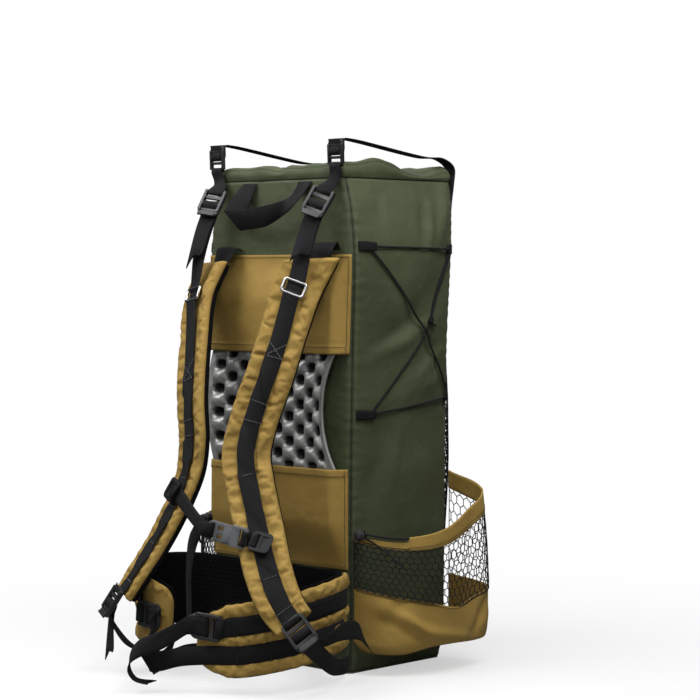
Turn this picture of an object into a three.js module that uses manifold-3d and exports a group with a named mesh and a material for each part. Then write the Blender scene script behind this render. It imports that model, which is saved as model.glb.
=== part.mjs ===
// An ultralight hiking backpack, standing on its base: a sewn bag with an open rolled
// collar, a foam back pad held by two sleeves, net side and front pockets, laced sides,
// padded shoulder straps and a padded hip belt. Every sewn or moulded piece is its own mesh.
// Millimetres, +Z up. The harness faces -Y, and left is the wearer's left, on +X.
import * as THREE from "three";
import { mergeVertices } from "three/addons/utils/BufferGeometryUtils.js";
import Module from "manifold-3d";

const { Vector3, MathUtils } = THREE;
const wasm = await Module();
wasm.setup();

// Driving dimensions
const CLOTH = 3; // wall of the pack cloth
const GAP = 0.4; // clearance between sewn pieces
const WEB = { width: 25, thickness: 1.6 };
const RIM = 674; // height of the seam under the collar
const BASE_CORNER = 24;

// The bag's upright seams and how far each panel swells between them, by height
const BAG = [
  { z: 0, halfWidth: 131, back: -100, front: 86, swellBack: 0, swellSide: 1, swellFront: 2 },
  { z: 32, halfWidth: 137, back: -104, front: 90, swellBack: 1, swellSide: 5, swellFront: 10 },
  { z: 150, halfWidth: 138, back: -105, front: 92, swellBack: 2, swellSide: 9, swellFront: 18 },
  { z: 300, halfWidth: 139, back: -105, front: 92, swellBack: 2, swellSide: 12, swellFront: 22 },
  { z: 450, halfWidth: 142, back: -105, front: 92, swellBack: 2, swellSide: 12, swellFront: 22 },
  { z: 570, halfWidth: 145, back: -105, front: 97, swellBack: 2, swellSide: 10, swellFront: 18 },
  { z: 635, halfWidth: 138, back: -105, front: 106, swellBack: 1, swellSide: 7, swellFront: 12 },
  { z: RIM, halfWidth: 128, back: -105, front: 112, swellBack: 0, swellSide: 3, swellFront: 6 },
];

// Soft folds pressed into the side panels: centre, direction, half length, half width, depth
const SIDE_FOLDS = [
  { y: 78, z: 628, lean: 62, reach: 60, spread: 14, depth: 7 },
  { y: 20, z: 500, lean: 35, reach: 70, spread: 20, depth: -5 },
  { y: 40, z: 440, lean: -55, reach: 90, spread: 18, depth: -6 },
  { y: 55, z: 400, lean: 20, reach: 60, spread: 16, depth: 5 },
];

// Linear interpolation of a table by one of its columns
function rowAt(table, column, value) {
  let i = 0;
  while (i < table.length - 2 && table[i + 1][column] < value) i++;
  const [a, b] = [table[i], table[i + 1]];
  const t = MathUtils.clamp((value - a[column]) / (b[column] - a[column]), 0, 1);
  return Object.fromEntries(Object.keys(a).map((k) => [k, MathUtils.lerp(a[k], b[k], t)]));
}

const steps = (from, to, count) =>
  Array.from({ length: count + 1 }, (_, i) => MathUtils.lerp(from, to, i / count));
const smooth = (t) => MathUtils.smoothstep(t, 0, 1);

// A closed body from points and triangles, turned to face outwards
function body(points, faces) {
  let volume = 0;
  const cross = new Vector3();
  for (let i = 0; i < faces.length; i += 3) {
    const [a, b, c] = [points[faces[i]], points[faces[i + 1]], points[faces[i + 2]]];
    volume += a.dot(cross.crossVectors(b, c));
  }
  if (volume < 0) faces.reverse();
  const geometry = new THREE.BufferGeometry().setFromPoints(points);
  geometry.setIndex(faces);
  return geometry;
}

// A closed wall between two grids: rows of { outer, inner } point pairs, open or in a ring
function slab(rows, ring = false) {
  const count = rows[0].length;
  const columns = ring ? count : count - 1;
  const last = rows.length - 1;
  const points = rows.flat().flatMap(({ outer, inner }) => [outer, inner]);
  const faces = [];
  const id = (j, i, side) => 2 * (j * count + (i % count)) + side;
  const quad = (a, b, c, d) => faces.push(a, b, c, a, c, d);
  for (let j = 0; j < last; j++) {
    for (let i = 0; i < columns; i++) {
      quad(id(j, i, 0), id(j, i + 1, 0), id(j + 1, i + 1, 0), id(j + 1, i, 0));
      quad(id(j, i, 1), id(j + 1, i, 1), id(j + 1, i + 1, 1), id(j, i + 1, 1));
    }
    if (!ring) {
      quad(id(j, 0, 0), id(j + 1, 0, 0), id(j + 1, 0, 1), id(j, 0, 1));
      quad(id(j, columns, 0), id(j, columns, 1), id(j + 1, columns, 1), id(j + 1, columns, 0));
    }
  }
  for (let i = 0; i < columns; i++) {
    quad(id(0, i, 0), id(0, i, 1), id(0, i + 1, 1), id(0, i + 1, 0));
    quad(id(last, i, 0), id(last, i + 1, 0), id(last, i + 1, 1), id(last, i, 1));
  }
  return body(points, faces);
}

// Webbing through stations of { at, across }, with its flat side square to the way it runs
function strip(stations, width = WEB.width, thickness = WEB.thickness) {
  return slab(
    stations.map(({ at, across }, i) => {
      const ahead = stations[Math.min(i + 1, stations.length - 1)].at;
      const along = ahead.clone().sub(stations[Math.max(i - 1, 0)].at);
      const flat = new Vector3().crossVectors(along, across).setLength(thickness / 2);
      return [-0.5, 0.5].map((side) => {
        const edge = at.clone().addScaledVector(across, side * width);
        return { outer: edge.clone().add(flat), inner: edge.clone().sub(flat) };
      });
    }),
  );
}

// manifold-3d solids, for the pieces that need a cut or a join
function toSolid(geometry) {
  const bare = new THREE.BufferGeometry();
  bare.setAttribute("position", geometry.getAttribute("position"));
  bare.setIndex(geometry.index);
  const merged = mergeVertices(bare, 1e-4);
  return new wasm.Manifold(
    new wasm.Mesh({
      numProp: 3,
      vertProperties: new Float32Array(merged.attributes.position.array),
      triVerts: new Uint32Array(merged.index.array),
    }),
  );
}

function toGeometry(solid) {
  const mesh = solid.getMesh();
  const geometry = new THREE.BufferGeometry();
  geometry.setAttribute("position", new THREE.BufferAttribute(mesh.vertProperties, 3));
  geometry.setIndex(new THREE.BufferAttribute(mesh.triVerts, 1));
  return geometry;
}

const fuse = (...geometries) =>
  toGeometry(geometries.map(toSolid).reduce((whole, next) => whole.add(next)));
const cut = (geometry, cutters) =>
  toGeometry(cutters.map(toSolid).reduce((whole, next) => whole.subtract(next), toSolid(geometry)));

// Outlines of plates, and of the slots through them
function roundedRectangle(width, length, radius, y = 0) {
  const [w, top, bottom] = [width / 2, y + length / 2, y - length / 2];
  const path = new THREE.Shape();
  path.moveTo(-w + radius, bottom);
  path.lineTo(w - radius, bottom);
  path.absarc(w - radius, bottom + radius, radius, -Math.PI / 2, 0);
  path.absarc(w - radius, top - radius, radius, 0, Math.PI / 2);
  path.absarc(-w + radius, top - radius, radius, Math.PI / 2, Math.PI);
  path.absarc(-w + radius, bottom + radius, radius, Math.PI, 1.5 * Math.PI);
  return path;
}

function rectangle(width, length, y = 0) {
  const corners = [[-1, -1], [1, -1], [1, 1], [-1, 1]];
  return new THREE.Path(corners.map(([i, j]) => new THREE.Vector2((i * width) / 2, y + (j * length) / 2)));
}

// Cloth, foam and moulded finishes
const finish = (color, roughness, metalness = 0) =>
  new THREE.MeshStandardMaterial({ color, roughness, metalness });
const OLIVE = finish(0x3f4a32, 0.6);
const TAN = finish(0xa98443, 0.75);
const BLACK_MESH = finish(0x0c0c0d, 0.95);
const NET = finish(0x101011, 0.8);
const WEBBING = finish(0x1b1b1d, 0.85);
const PLASTIC = finish(0x25262a, 0.45);
const STEEL = finish(0xd6d7d8, 0.3, 1);
const FOAM = finish(0x9a9c9f, 0.35, 0.6);

const pack = new THREE.Group();
const sides = { left: new THREE.Group(), right: new THREE.Group() };
sides.right.scale.x = -1;
pack.add(sides.left, sides.right);

function add(name, geometry, material, parent = pack) {
  const mesh = new THREE.Mesh(geometry, material);
  mesh.name = name;
  parent.add(mesh);
  return mesh;
}

// The same piece on both sides, mirrored
function addPair(name, geometry, material) {
  for (const [side, group] of Object.entries(sides)) add(`${name}_${side}`, geometry, material, group);
}

// Bag panels

// How far the folds lift the side panel at a place
function sideFold(y, z) {
  return SIDE_FOLDS.reduce((lift, fold) => {
    const lean = MathUtils.degToRad(fold.lean);
    const [dy, dz] = [y - fold.y, z - fold.z];
    const along = (dy * Math.cos(lean) + dz * Math.sin(lean)) / fold.reach;
    const off = (dz * Math.cos(lean) - dy * Math.sin(lean)) / fold.spread;
    return lift + fold.depth * Math.exp(-along * along - off * off);
  }, 0);
}

const swell = (amount, s) => amount * (1 - s * s);

// The outside of the left panel at a place on it
function sideSurface(y, z) {
  const row = rowAt(BAG, "z", z);
  const s = MathUtils.clamp((2 * (y - row.back)) / (row.front - row.back) - 1, -1, 1);
  return row.halfWidth + swell(row.swellSide, s) + sideFold(y, z) * (1 - s * s);
}

// The side panel as it is drawn, in flat facets between its levels and columns
function sideFacet(y, z) {
  const j = MathUtils.clamp(PANEL_LEVELS.findIndex((level) => level > z), 1, PANEL_LEVELS.length - 1);
  const [low, high] = [PANEL_LEVELS[j - 1], PANEL_LEVELS[j]];
  const { back, front } = rowAt(BAG, "z", z);
  const share = MathUtils.clamp((y - back) / (front - back), 0, 0.999) * PANEL_COLUMNS;
  const corner = (i, level) => {
    const row = rowAt(BAG, "z", level);
    return sideSurface(MathUtils.lerp(row.back, row.front, i / PANEL_COLUMNS), level);
  };
  const i = Math.floor(share);
  const across = (level) => MathUtils.lerp(corner(i, level), corner(i + 1, level), share - i);
  return MathUtils.lerp(across(low), across(high), MathUtils.clamp((z - low) / (high - low), 0, 1));
}

// The highest facet near a place
function sideCrest(y, z, reach) {
  const offsets = [-reach, 0, reach];
  return Math.max(...offsets.flatMap((dy) => offsets.map((dz) => sideFacet(y + dy, z + dz))));
}

// A point of the bag's outline, s from -1 to 1 across the panel, drawn in by an inset
function outline(panel, s, z, inset = 0) {
  const row = rowAt(BAG, "z", z);
  const half = row.halfWidth - inset;
  const [back, front] = [row.back + inset, row.front - inset];
  if (panel === "back") return new Vector3(s * half, back - swell(row.swellBack, s), z);
  if (panel === "front") return new Vector3(-s * half, front + swell(row.swellFront, s), z);
  const y = MathUtils.lerp(back, front, (s + 1) / 2);
  return new Vector3(half + swell(row.swellSide, s), y, z);
}

const PANEL_LEVELS = [CLOTH + GAP, 32, 150, 225, 300, 360, 410, 450, 500, 570, 635, RIM];
const PANEL_COLUMNS = 6;

function backOrFront(panel, inward) {
  return slab(
    PANEL_LEVELS.map((z) =>
      steps(-1, 1, PANEL_COLUMNS).map((s) => {
        const outer = outline(panel, s, z);
        return { outer, inner: outer.clone().setY(outer.y + inward * CLOTH) };
      }),
    ),
  );
}

// The side panel stops short of the back and front panels that it is sewn to
function sidePanel() {
  return slab(
    PANEL_LEVELS.map((z) => {
      const row = rowAt(BAG, "z", z);
      const seam = CLOTH + GAP;
      return steps(row.back + seam, row.front - seam, PANEL_COLUMNS).map((y) => {
        const outer = new Vector3(sideSurface(y, z), y, z);
        return { outer, inner: outer.clone().setX(outer.x - CLOTH) };
      });
    }),
  );
}

function basePanel() {
  const { halfWidth, back, front } = BAG[0];
  const shape = roundedRectangle(2 * halfWidth, front - back, BASE_CORNER, (front + back) / 2);
  return new THREE.ExtrudeGeometry(shape, { depth: CLOTH, bevelEnabled: false, curveSegments: 3 });
}

add("base_panel", basePanel(), OLIVE);
add("back_panel", backOrFront("back", 1), OLIVE);
add("front_panel", backOrFront("front", -1), OLIVE);
addPair("side_panel", sidePanel(), OLIVE);

// Collar: cloth that rises above the seam, rolls inwards and hangs down inside the mouth
const COLLAR = [
  { inset: 0.2, rise: GAP },
  { inset: -1.5, rise: 9 },
  { inset: 1.5, rise: 17 },
  { inset: 9, rise: 22 },
  { inset: 18, rise: 17 },
  { inset: 23, rise: -26 },
];
const COLLAR_CLOTH = 2.5;
// Gathers of the collar, by the panel that they stand over
const GATHERS = [
  { panel: "back", s: 0, width: 0.1, lift: -5 },
  { panel: "left", s: -0.45, width: 0.3, lift: 9 },
  { panel: "left", s: 0.5, width: 0.45, lift: -11 },
  { panel: "right", s: -0.4, width: 0.4, lift: 6 },
  { panel: "front", s: 0.3, width: 0.5, lift: 4 },
];

function collarPoint(panel, s, { inset, rise }) {
  const lift = GATHERS.filter((g) => g.panel === panel).reduce(
    (sum, g) => sum + g.lift * Math.exp(-(((s - g.s) / g.width) ** 2)),
    0,
  );
  const flat = outline(panel === "right" ? "left" : panel, panel === "right" ? -s : s, RIM, inset);
  if (panel === "right") flat.x = -flat.x;
  return flat.setZ(RIM + rise + lift * smooth(rise / 20));
}

function collar() {
  const round = ["back", "left", "front", "right"].flatMap((panel) =>
    steps(-1, 1, 5)
      .slice(0, 5)
      .map((s) => ({ panel, s })),
  );
  return slab(
    COLLAR.map((here, j) => {
      const ahead = COLLAR[Math.min(j + 1, COLLAR.length - 1)];
      const behind = COLLAR[Math.max(j - 1, 0)];
      const run = new THREE.Vector2(ahead.inset - behind.inset, ahead.rise - behind.rise).normalize();
      const under = {
        inset: here.inset + run.y * COLLAR_CLOTH,
        rise: here.rise - run.x * COLLAR_CLOTH,
      };
      return round.map(({ panel, s }) => ({
        outer: collarPoint(panel, s, here),
        inner: collarPoint(panel, s, under),
      }));
    }),
    true,
  );
}

add("collar", collar(), OLIVE);

// Back pad: an egg-crate foam sheet between two cloth sleeves
const PAD = { halfWidth: 116, low: 197, high: 521.5, columns: 10, rows: 13, sheet: 6, crest: 4.5 };
const PAD_STANDOFF = 11; // from the back panel to the middle of the pad
const PAD_BOW = 6; // how far its free edges curl away from the panel
const PAD_FLAT = 50; // half of its width that stays flat
const SLEEVE = { cloth: 1.5, rise: 22, seam: 1.5 + GAP, span: 0.985 };
const SLEEVE_COLUMNS = [-1, -0.86, -0.45, 0, 0.45, 0.86, 1];
const SLEEVES = { upper: { sewn: 571, open: 436 }, lower: { sewn: 143, open: 280 } };

function padSheet() {
  const middle = (SLEEVES.upper.open + SLEEVES.lower.open) / 2;
  const halfWindow = (SLEEVES.upper.open - SLEEVES.lower.open) / 2;
  return slab(
    steps(PAD.low, PAD.high, PAD.rows).map((z, j) =>
      steps(-PAD.halfWidth, PAD.halfWidth, PAD.columns).map((x, i) => {
        const free = 1 - Math.min(1, Math.abs(z - middle) / halfWindow) ** 2;
        const crest = PAD.crest * (i % 2 === j % 2 ? 1 : -1) * (0.45 + 0.55 * Math.sqrt(free));
        const bow = PAD_BOW * free * smooth((Math.abs(x) - PAD_FLAT) / (PAD.halfWidth - PAD_FLAT));
        const back = outline("back", x / rowAt(BAG, "z", z).halfWidth, z).y;
        const y = back - PAD_STANDOFF - crest - bow;
        return {
          outer: new Vector3(x, y - PAD.sheet / 2, z),
          inner: new Vector3(x, y + PAD.sheet / 2, z),
        };
      }),
    ),
  );
}

function padSleeve({ sewn, open }) {
  return slab(
    steps(0, 1, 5).map((t) => {
      const z = MathUtils.lerp(sewn, open, t);
      return SLEEVE_COLUMNS.map((c) => {
        const s = c * SLEEVE.span;
        const edge = smooth((1 - Math.abs(c)) / 0.14);
        const stand = SLEEVE.seam + (SLEEVE.rise - SLEEVE.seam) * edge * smooth(t / 0.5);
        const inner = outline("back", s, z);
        inner.y -= stand - SLEEVE.cloth;
        return { outer: inner.clone().setY(inner.y - SLEEVE.cloth), inner };
      });
    }),
  );
}

add("back_pad", padSheet(), FOAM);
add("upper_pad_sleeve", padSleeve(SLEEVES.upper), TAN);
add("lower_pad_sleeve", padSleeve(SLEEVES.lower), TAN);

// Side pockets: a boxed cloth foot, a net wall and a slanted hem, bulging off the side panel
// The pocket's plan from its back seam to its front seam, at even steps of t from 0 to 1
const POCKET_PLAN = [
  { y: -100, out: 0 },
  { y: -78, out: 50 },
  { y: -22, out: 76 },
  { y: 36, out: 80 },
  { y: 87, out: 77 },
  { y: 91, out: 0 },
];
const POCKET_BULGE = [
  { z: 26, share: 0 },
  { z: 36, share: 0.62 },
  { z: 52, share: 0.93 },
  { z: 100, share: 1 },
  { z: 160, share: 0.96 },
  { z: 200, share: 0.9 },
  { z: 270, share: 0.78 },
];
const POCKET_EDGES = [
  { t: 0, foot: 120, net: 184, hem: 197 },
  { t: 0.3, foot: 105, net: 172, hem: 189 },
  { t: 0.6, foot: 90, net: 188, hem: 209 },
  { t: 0.85, foot: 103, net: 222, hem: 246 },
  { t: 1, foot: 118, net: 243, hem: 266 },
];
const POCKET = { cloth: 1.8, net: 1.6, columns: 8, gaps: 8, gapRows: 2, gapSize: 12, floor: 26 };
const POCKET_SEAT = 2; // how far round a seam the panel's crest is looked for
const planCurve = new THREE.SplineCurve(POCKET_PLAN.map(({ y, out }) => new THREE.Vector2(y, out)));

function pocketPoint(t, z) {
  const plan = planCurve.getPoint(t);
  const out = Math.max(0, plan.y * rowAt(POCKET_BULGE, "z", z).share);
  const row = rowAt(BAG, "z", z);
  const y = MathUtils.clamp(plan.x, row.back, row.front);
  return new Vector3(sideCrest(y, z, POCKET_SEAT) + POCKET.cloth + GAP + out, plan.x, z);
}

// The way the pocket's wall faces at a place
function pocketNormal(t, z) {
  const [dt, dz] = [0.02, 1];
  const round = pocketPoint(Math.min(1, t + dt), z).sub(pocketPoint(Math.max(0, t - dt), z));
  const up = pocketPoint(t, z + dz).sub(pocketPoint(t, z - dz));
  return round.cross(up).normalize();
}

// A band of the pocket between two edges, as a wall of the given thickness
function pocketBand(low, high, rows, thickness) {
  return slab(
    steps(0, 1, rows).map((v) =>
      steps(0, 1, POCKET.columns).map((t) => {
        const z = MathUtils.lerp(low(t), high(t), v);
        const outer = pocketPoint(t, z);
        const inner = outer.clone().addScaledVector(pocketNormal(t, z), -thickness);
        inner.x = Math.max(inner.x, sideCrest(inner.y, inner.z, POCKET_SEAT) + GAP);
        return { outer, inner };
      }),
    ),
  );
}

const edge = (column, lift = 0) => (t) => rowAt(POCKET_EDGES, "t", t)[column] + lift;

// Diamond gaps through the net, each cut square to the wall
function netGaps(place, columns, rows, size, spare = 0) {
  const gaps = [];
  for (let j = 0; j < rows; j++) {
    for (let i = spare; i < columns - spare; i++) {
      const { at, normal } = place((i + 0.5) / columns, (j + 0.5) / rows);
      const gap = new THREE.CylinderGeometry(size, size, 24, 4);
      const turn = new THREE.Quaternion().setFromUnitVectors(new Vector3(0, 1, 0), normal);
      gap.applyQuaternion(turn);
      gaps.push(gap.translate(at.x, at.y, at.z));
    }
  }
  return gaps;
}

function pocketNet() {
  const [low, high] = [edge("foot", GAP), edge("net")];
  const wall = pocketBand(low, high, 2, POCKET.net);
  const place = (t, b) => {
    const z = MathUtils.lerp(low(t), high(t), b);
    return { at: pocketPoint(t, z), normal: pocketNormal(t, z) };
  };
  return cut(wall, netGaps(place, POCKET.gaps, POCKET.gapRows, POCKET.gapSize, 1));
}

addPair("side_pocket_base", pocketBand(() => POCKET.floor, edge("foot"), 5, POCKET.cloth), TAN);
addPair("side_pocket_net", pocketNet(), NET);
addPair("side_pocket_hem", pocketBand(edge("net", GAP), edge("hem"), 1, POCKET.cloth), TAN);

// Front pocket: one wide net with a hemmed mouth
const FRONT_POCKET = { low: 70, net: 440, hem: 462, span: 0.9, depth: 58, columns: 5 };
const FRONT_GAPS = { columns: 5, rows: 4, size: 21 };

function frontPoint(s, z) {
  const t = (z - FRONT_POCKET.low) / (FRONT_POCKET.hem - FRONT_POCKET.low);
  const belly = Math.sin(Math.PI * MathUtils.clamp(0.06 + 0.8 * t, 0, 1)) ** 0.6 * (1 - s ** 4);
  const at = outline("front", s * FRONT_POCKET.span, z);
  return at.setY(at.y + POCKET.cloth + GAP + FRONT_POCKET.depth * belly);
}

function frontBand(low, high, rows, thickness) {
  return slab(
    steps(low, high, rows).map((z) =>
      steps(-1, 1, FRONT_POCKET.columns).map((s) => {
        const outer = frontPoint(s, z);
        return { outer, inner: outer.clone().setY(outer.y - thickness) };
      }),
    ),
  );
}

function frontNet() {
  const wall = frontBand(FRONT_POCKET.low, FRONT_POCKET.net, FRONT_GAPS.rows, POCKET.net);
  const place = (a, b) => ({
    at: frontPoint(2 * a - 1, MathUtils.lerp(FRONT_POCKET.low, FRONT_POCKET.net, b)),
    normal: new Vector3(0, 1, 0),
  });
  return cut(wall, netGaps(place, FRONT_GAPS.columns, FRONT_GAPS.rows, FRONT_GAPS.size));
}

add("front_pocket_net", frontNet(), NET);
add("front_pocket_hem", frontBand(FRONT_POCKET.net + GAP, FRONT_POCKET.hem, 1, POCKET.cloth), TAN);

// Side lacing: one cord through four eyes of the side panel, with its sewn tabs
const CORD = 1.6; // radius
const EYES = [
  { y: -70, z: 584 },
  { y: 84, z: 580 },
  { y: -68, z: 358 },
  { y: 84, z: 372 },
];
const LACE_STEPS = 6; // points of the route along each leg
const LACE_SECTIONS = 20; // sections of the cord
const LACE_LIFT = 4.5; // one diagonal passes over the other
const TAB = { back: 40, front: 24, width: 14, thickness: 3 };

function sideLacing() {
  const path = [];
  EYES.forEach((from, leg) => {
    const to = EYES[(leg + 1) % EYES.length];
    steps(0, 1, LACE_STEPS)
      .slice(0, LACE_STEPS)
      .forEach((t) => {
        const [y, z] = [MathUtils.lerp(from.y, to.y, t), MathUtils.lerp(from.z, to.z, t)];
        const over = leg === 3 ? LACE_LIFT * Math.sin(Math.PI * t) : 0;
        path.push(new Vector3(sideCrest(y, z, 12) + CORD + 2 * GAP + over, y, z));
      });
  });
  path.push(path[0].clone().add(new Vector3(0, -3, 0)));
  const round = new THREE.Shape(steps(0, 7 / 8, 7).map((a) => {
    const turn = 2 * Math.PI * a;
    return new THREE.Vector2(CORD * Math.cos(turn), CORD * Math.sin(turn));
  }));
  const cord = new THREE.ExtrudeGeometry(round, {
    steps: LACE_SECTIONS,
    extrudePath: new THREE.CatmullRomCurve3(path, false, "centripetal"),
  });
  const tabs = EYES.map(({ y, z }) => {
    const length = y < 0 ? TAB.back : TAB.front;
    const middle = y + (y < 0 ? 16 - length / 2 : length / 2 - 16);
    const height = sideCrest(middle, z, length / 2) + TAB.thickness / 2 + 2 * GAP;
    return new THREE.BoxGeometry(TAB.thickness, length, TAB.width).translate(height, middle, z);
  });
  return fuse(cord, ...tabs);
}

addPair("side_lacing", sideLacing(), WEBBING);

// Tracks: a padded strap or belt as a smooth line with a width and a facing
function track(rows, acrossOf) {
  const curve = new THREE.CatmullRomCurve3(rows.map(({ x, y, z }) => new Vector3(x, y, z)));
  const last = rows.length - 1;
  return (k) => {
    const i = Math.min(Math.floor(k), last - 1);
    const row = Object.fromEntries(
      Object.keys(rows[0]).map((c) => [c, MathUtils.lerp(rows[i][c], rows[i + 1][c], k - i)]),
    );
    const along = curve.getTangent(k / last);
    const across = acrossOf(row);
    across.addScaledVector(along, -across.dot(along)).normalize();
    const out = new Vector3().crossVectors(along, across);
    return { at: curve.getPoint(k / last), along, across, out, width: row.width };
  };
}

// A padded length of a track: profile rows give the place across it and both faces' heights
function padding(line, from, to, count, profile) {
  return slab(
    steps(from, to, count).map((k) => {
      const { at, across, out, width } = line(k);
      return profile.map(({ v, off = 0, outer, inner }) => {
        const middle = at.clone().addScaledVector(across, (v * width) / 2 + off);
        return {
          outer: middle.clone().addScaledVector(out, outer),
          inner: middle.clone().addScaledVector(out, inner),
        };
      });
    }),
  );
}

// Webbing sewn along a track, at a height and a place across it
const sewn = (line, from, to, count, height, v = 0) =>
  steps(from, to, count).map((k) => {
    const { at, across, out, width } = line(k);
    return { at: at.clone().addScaledVector(out, height).addScaledVector(across, (v * width) / 2), across };
  });

// Hardware

// Ladder lock: a plate with an anchor bar at its upper end and a bar that grips the webbing
const LADDER = { width: 34, length: 44, thickness: 4, corner: 6, slotWidth: 27, slot: 5.5 };
const SLOTS = { anchor: 13, upper: 2.5, lower: -8.5 };
const CLEAR = LADDER.thickness / 2 + WEB.thickness / 2 + GAP; // webbing beside the plate

function ladderLock() {
  const shape = roundedRectangle(LADDER.width, LADDER.length, LADDER.corner);
  for (const y of Object.values(SLOTS)) {
    shape.holes.push(rectangle(LADDER.slotWidth, LADDER.slot, y));
  }
  const plate = { depth: LADDER.thickness, bevelEnabled: false, curveSegments: 1 };
  return new THREE.ExtrudeGeometry(shape, plate).translate(0, 0, -LADDER.thickness / 2);
}

// Slider: a bent wire oblong that joins two lengths of webbing
const SLIDER = { width: 37, length: 22, wire: 4, corner: 4 };

function wireSlider() {
  const shape = roundedRectangle(SLIDER.width, SLIDER.length, SLIDER.corner);
  const { width, length, wire } = SLIDER;
  shape.holes.push(rectangle(width - 2 * wire, length - 2 * wire));
  const plate = { depth: wire - 1, bevelEnabled: false, curveSegments: 1 };
  return new THREE.ExtrudeGeometry(shape, plate).translate(0, 0, (1 - wire) / 2);
}

// A seat for hardware: x across the webbing, y towards the end that carries it, z outwards
function seat(at, across, up) {
  const y = up.clone().normalize();
  const x = across.clone().addScaledVector(y, -across.dot(y)).normalize();
  const z = new Vector3().crossVectors(x, y);
  const point = (along, height) => ({
    at: at.clone().addScaledVector(y, along).addScaledVector(z, height),
    across: x.clone(),
  });
  return { point, matrix: new THREE.Matrix4().makeBasis(x, y, z).setPosition(at) };
}

function place(mesh, { matrix }) {
  matrix.decompose(mesh.position, mesh.quaternion, mesh.scale);
  return mesh;
}

// Webbing turned round the anchor bar: it comes over the bar and is sewn back under itself
const anchored = (lock, reach = 28) => [
  lock.point(reach + 2, CLEAR),
  lock.point(14.8, CLEAR),
  lock.point(12.9, 1.3),
  lock.point(12.9, -1.3),
  lock.point(14.8, -CLEAR),
  lock.point(reach, -CLEAR),
];

// Webbing that comes up under the anchor bar and is sewn back on top of itself
const anchoredUnder = (lock) => anchored(lock, 22).reverse();

// Webbing round the gripping bar: up through the lower slot, over, and down through the upper
const gripped = (lock) => [
  lock.point(-18, -CLEAR - 1),
  lock.point(-12, -CLEAR - 0.6),
  lock.point(-8.8, -1.8),
  lock.point(-8.5, 0.9),
  lock.point(-6.4, CLEAR),
  lock.point(0.4, CLEAR),
  lock.point(2.5, 0.9),
  lock.point(1.8, -CLEAR - 0.4),
  lock.point(-4, -CLEAR - 3.6),
  lock.point(-18, -CLEAR - 4.8),
];

const station = (x, y, z, across) => ({ at: new Vector3(x, y, z), across: across.clone().normalize() });

// Shoulder straps

// Each strap from its root to its lower end: middle line, turn about the upright and width
const STRAPS = {
  left: [
    { x: 100, y: -140, z: 566, turn: 20, width: 74 },
    { x: 85, y: -154, z: 524, turn: 24, width: 72 },
    { x: 78, y: -174, z: 465, turn: 26, width: 68 },
    { x: 72, y: -193, z: 409, turn: 28, width: 68 },
    { x: 60, y: -211, z: 349, turn: 28, width: 68 },
    { x: 58, y: -223, z: 302, turn: 28, width: 68 },
    { x: 74, y: -231, z: 263, turn: 28, width: 67 },
    { x: 106, y: -244, z: 205, turn: 30, width: 66 },
    { x: 146, y: -266, z: 156, turn: 32, width: 64 },
    { x: 181, y: -278, z: 120, turn: 30, width: 60 },
    { x: 204, y: -274, z: 96, turn: 30, width: 54 },
  ],
  right: [
    { x: -93, y: -140, z: 562, turn: -18, width: 74 },
    { x: -98, y: -165, z: 512, turn: -17, width: 72 },
    { x: -78, y: -195, z: 439, turn: -14, width: 68 },
    { x: -61, y: -215, z: 371, turn: -14, width: 68 },
    { x: -50, y: -222, z: 317, turn: -14, width: 68 },
    { x: -49, y: -228, z: 277, turn: -17, width: 68 },
    { x: -52, y: -240, z: 244, turn: -20, width: 67 },
    { x: -60, y: -254, z: 211, turn: -20, width: 66 },
    { x: -73, y: -272, z: 171, turn: -20, width: 64 },
    { x: -86, y: -296, z: 130, turn: -20, width: 60 },
    { x: -96, y: -307, z: 106, turn: -20, width: 54 },
  ],
};
const LAST = STRAPS.left.length - 1;
const SEAM = 0.8; // from the seam plane of a padded piece to its cover
const CUSHION = [
  { v: -1, off: 0, outer: 1.8, inner: SEAM },
  { v: -1, off: 9, outer: 6.5, inner: SEAM },
  { v: 0, off: -14, outer: 4, inner: SEAM },
  { v: 0, off: 14, outer: 4, inner: SEAM },
  { v: 1, off: -9, outer: 6.5, inner: SEAM },
  { v: 1, off: 0, outer: 1.8, inner: SEAM },
];
const LINING_SEAM = { left: 0.6, right: 0.1 }; // wider on the strap that twists more
const lining = (seam) => [
  { v: -1, outer: -seam, inner: -6 },
  { v: 0, outer: -seam - 0.5, inner: -7 },
  { v: 1, outer: -seam, inner: -6 },
];
const WEB_HEIGHT = 4 + GAP + WEB.thickness / 2; // webbing on the cushion's middle
const LOCK_HANG = { along: 14, out: 11 }; // the lower lock from the end of the strap
const SLIDER_AT = 1; // row of the strap where the wire slider lies

// Where the ladder locks of the load lifters and the lower straps hang
const LIFTERS = {
  left: {
    at: new Vector3(104, -132, 642),
    across: new Vector3(0.9, 0.42, 0),
    up: new Vector3(0.16, 0.5, 0.85),
  },
  right: {
    at: new Vector3(-104, -136, 645),
    across: new Vector3(0.92, 0.38, 0),
    up: new Vector3(-0.05, 0.55, 0.83),
  },
};

// The free tail of a load lifter: its place along the taut webbing, and how far it stands off it
const LIFTER_TAIL = [
  { t: 0.6, lift: 6 },
  { t: 0.27, lift: 9 },
];

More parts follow.
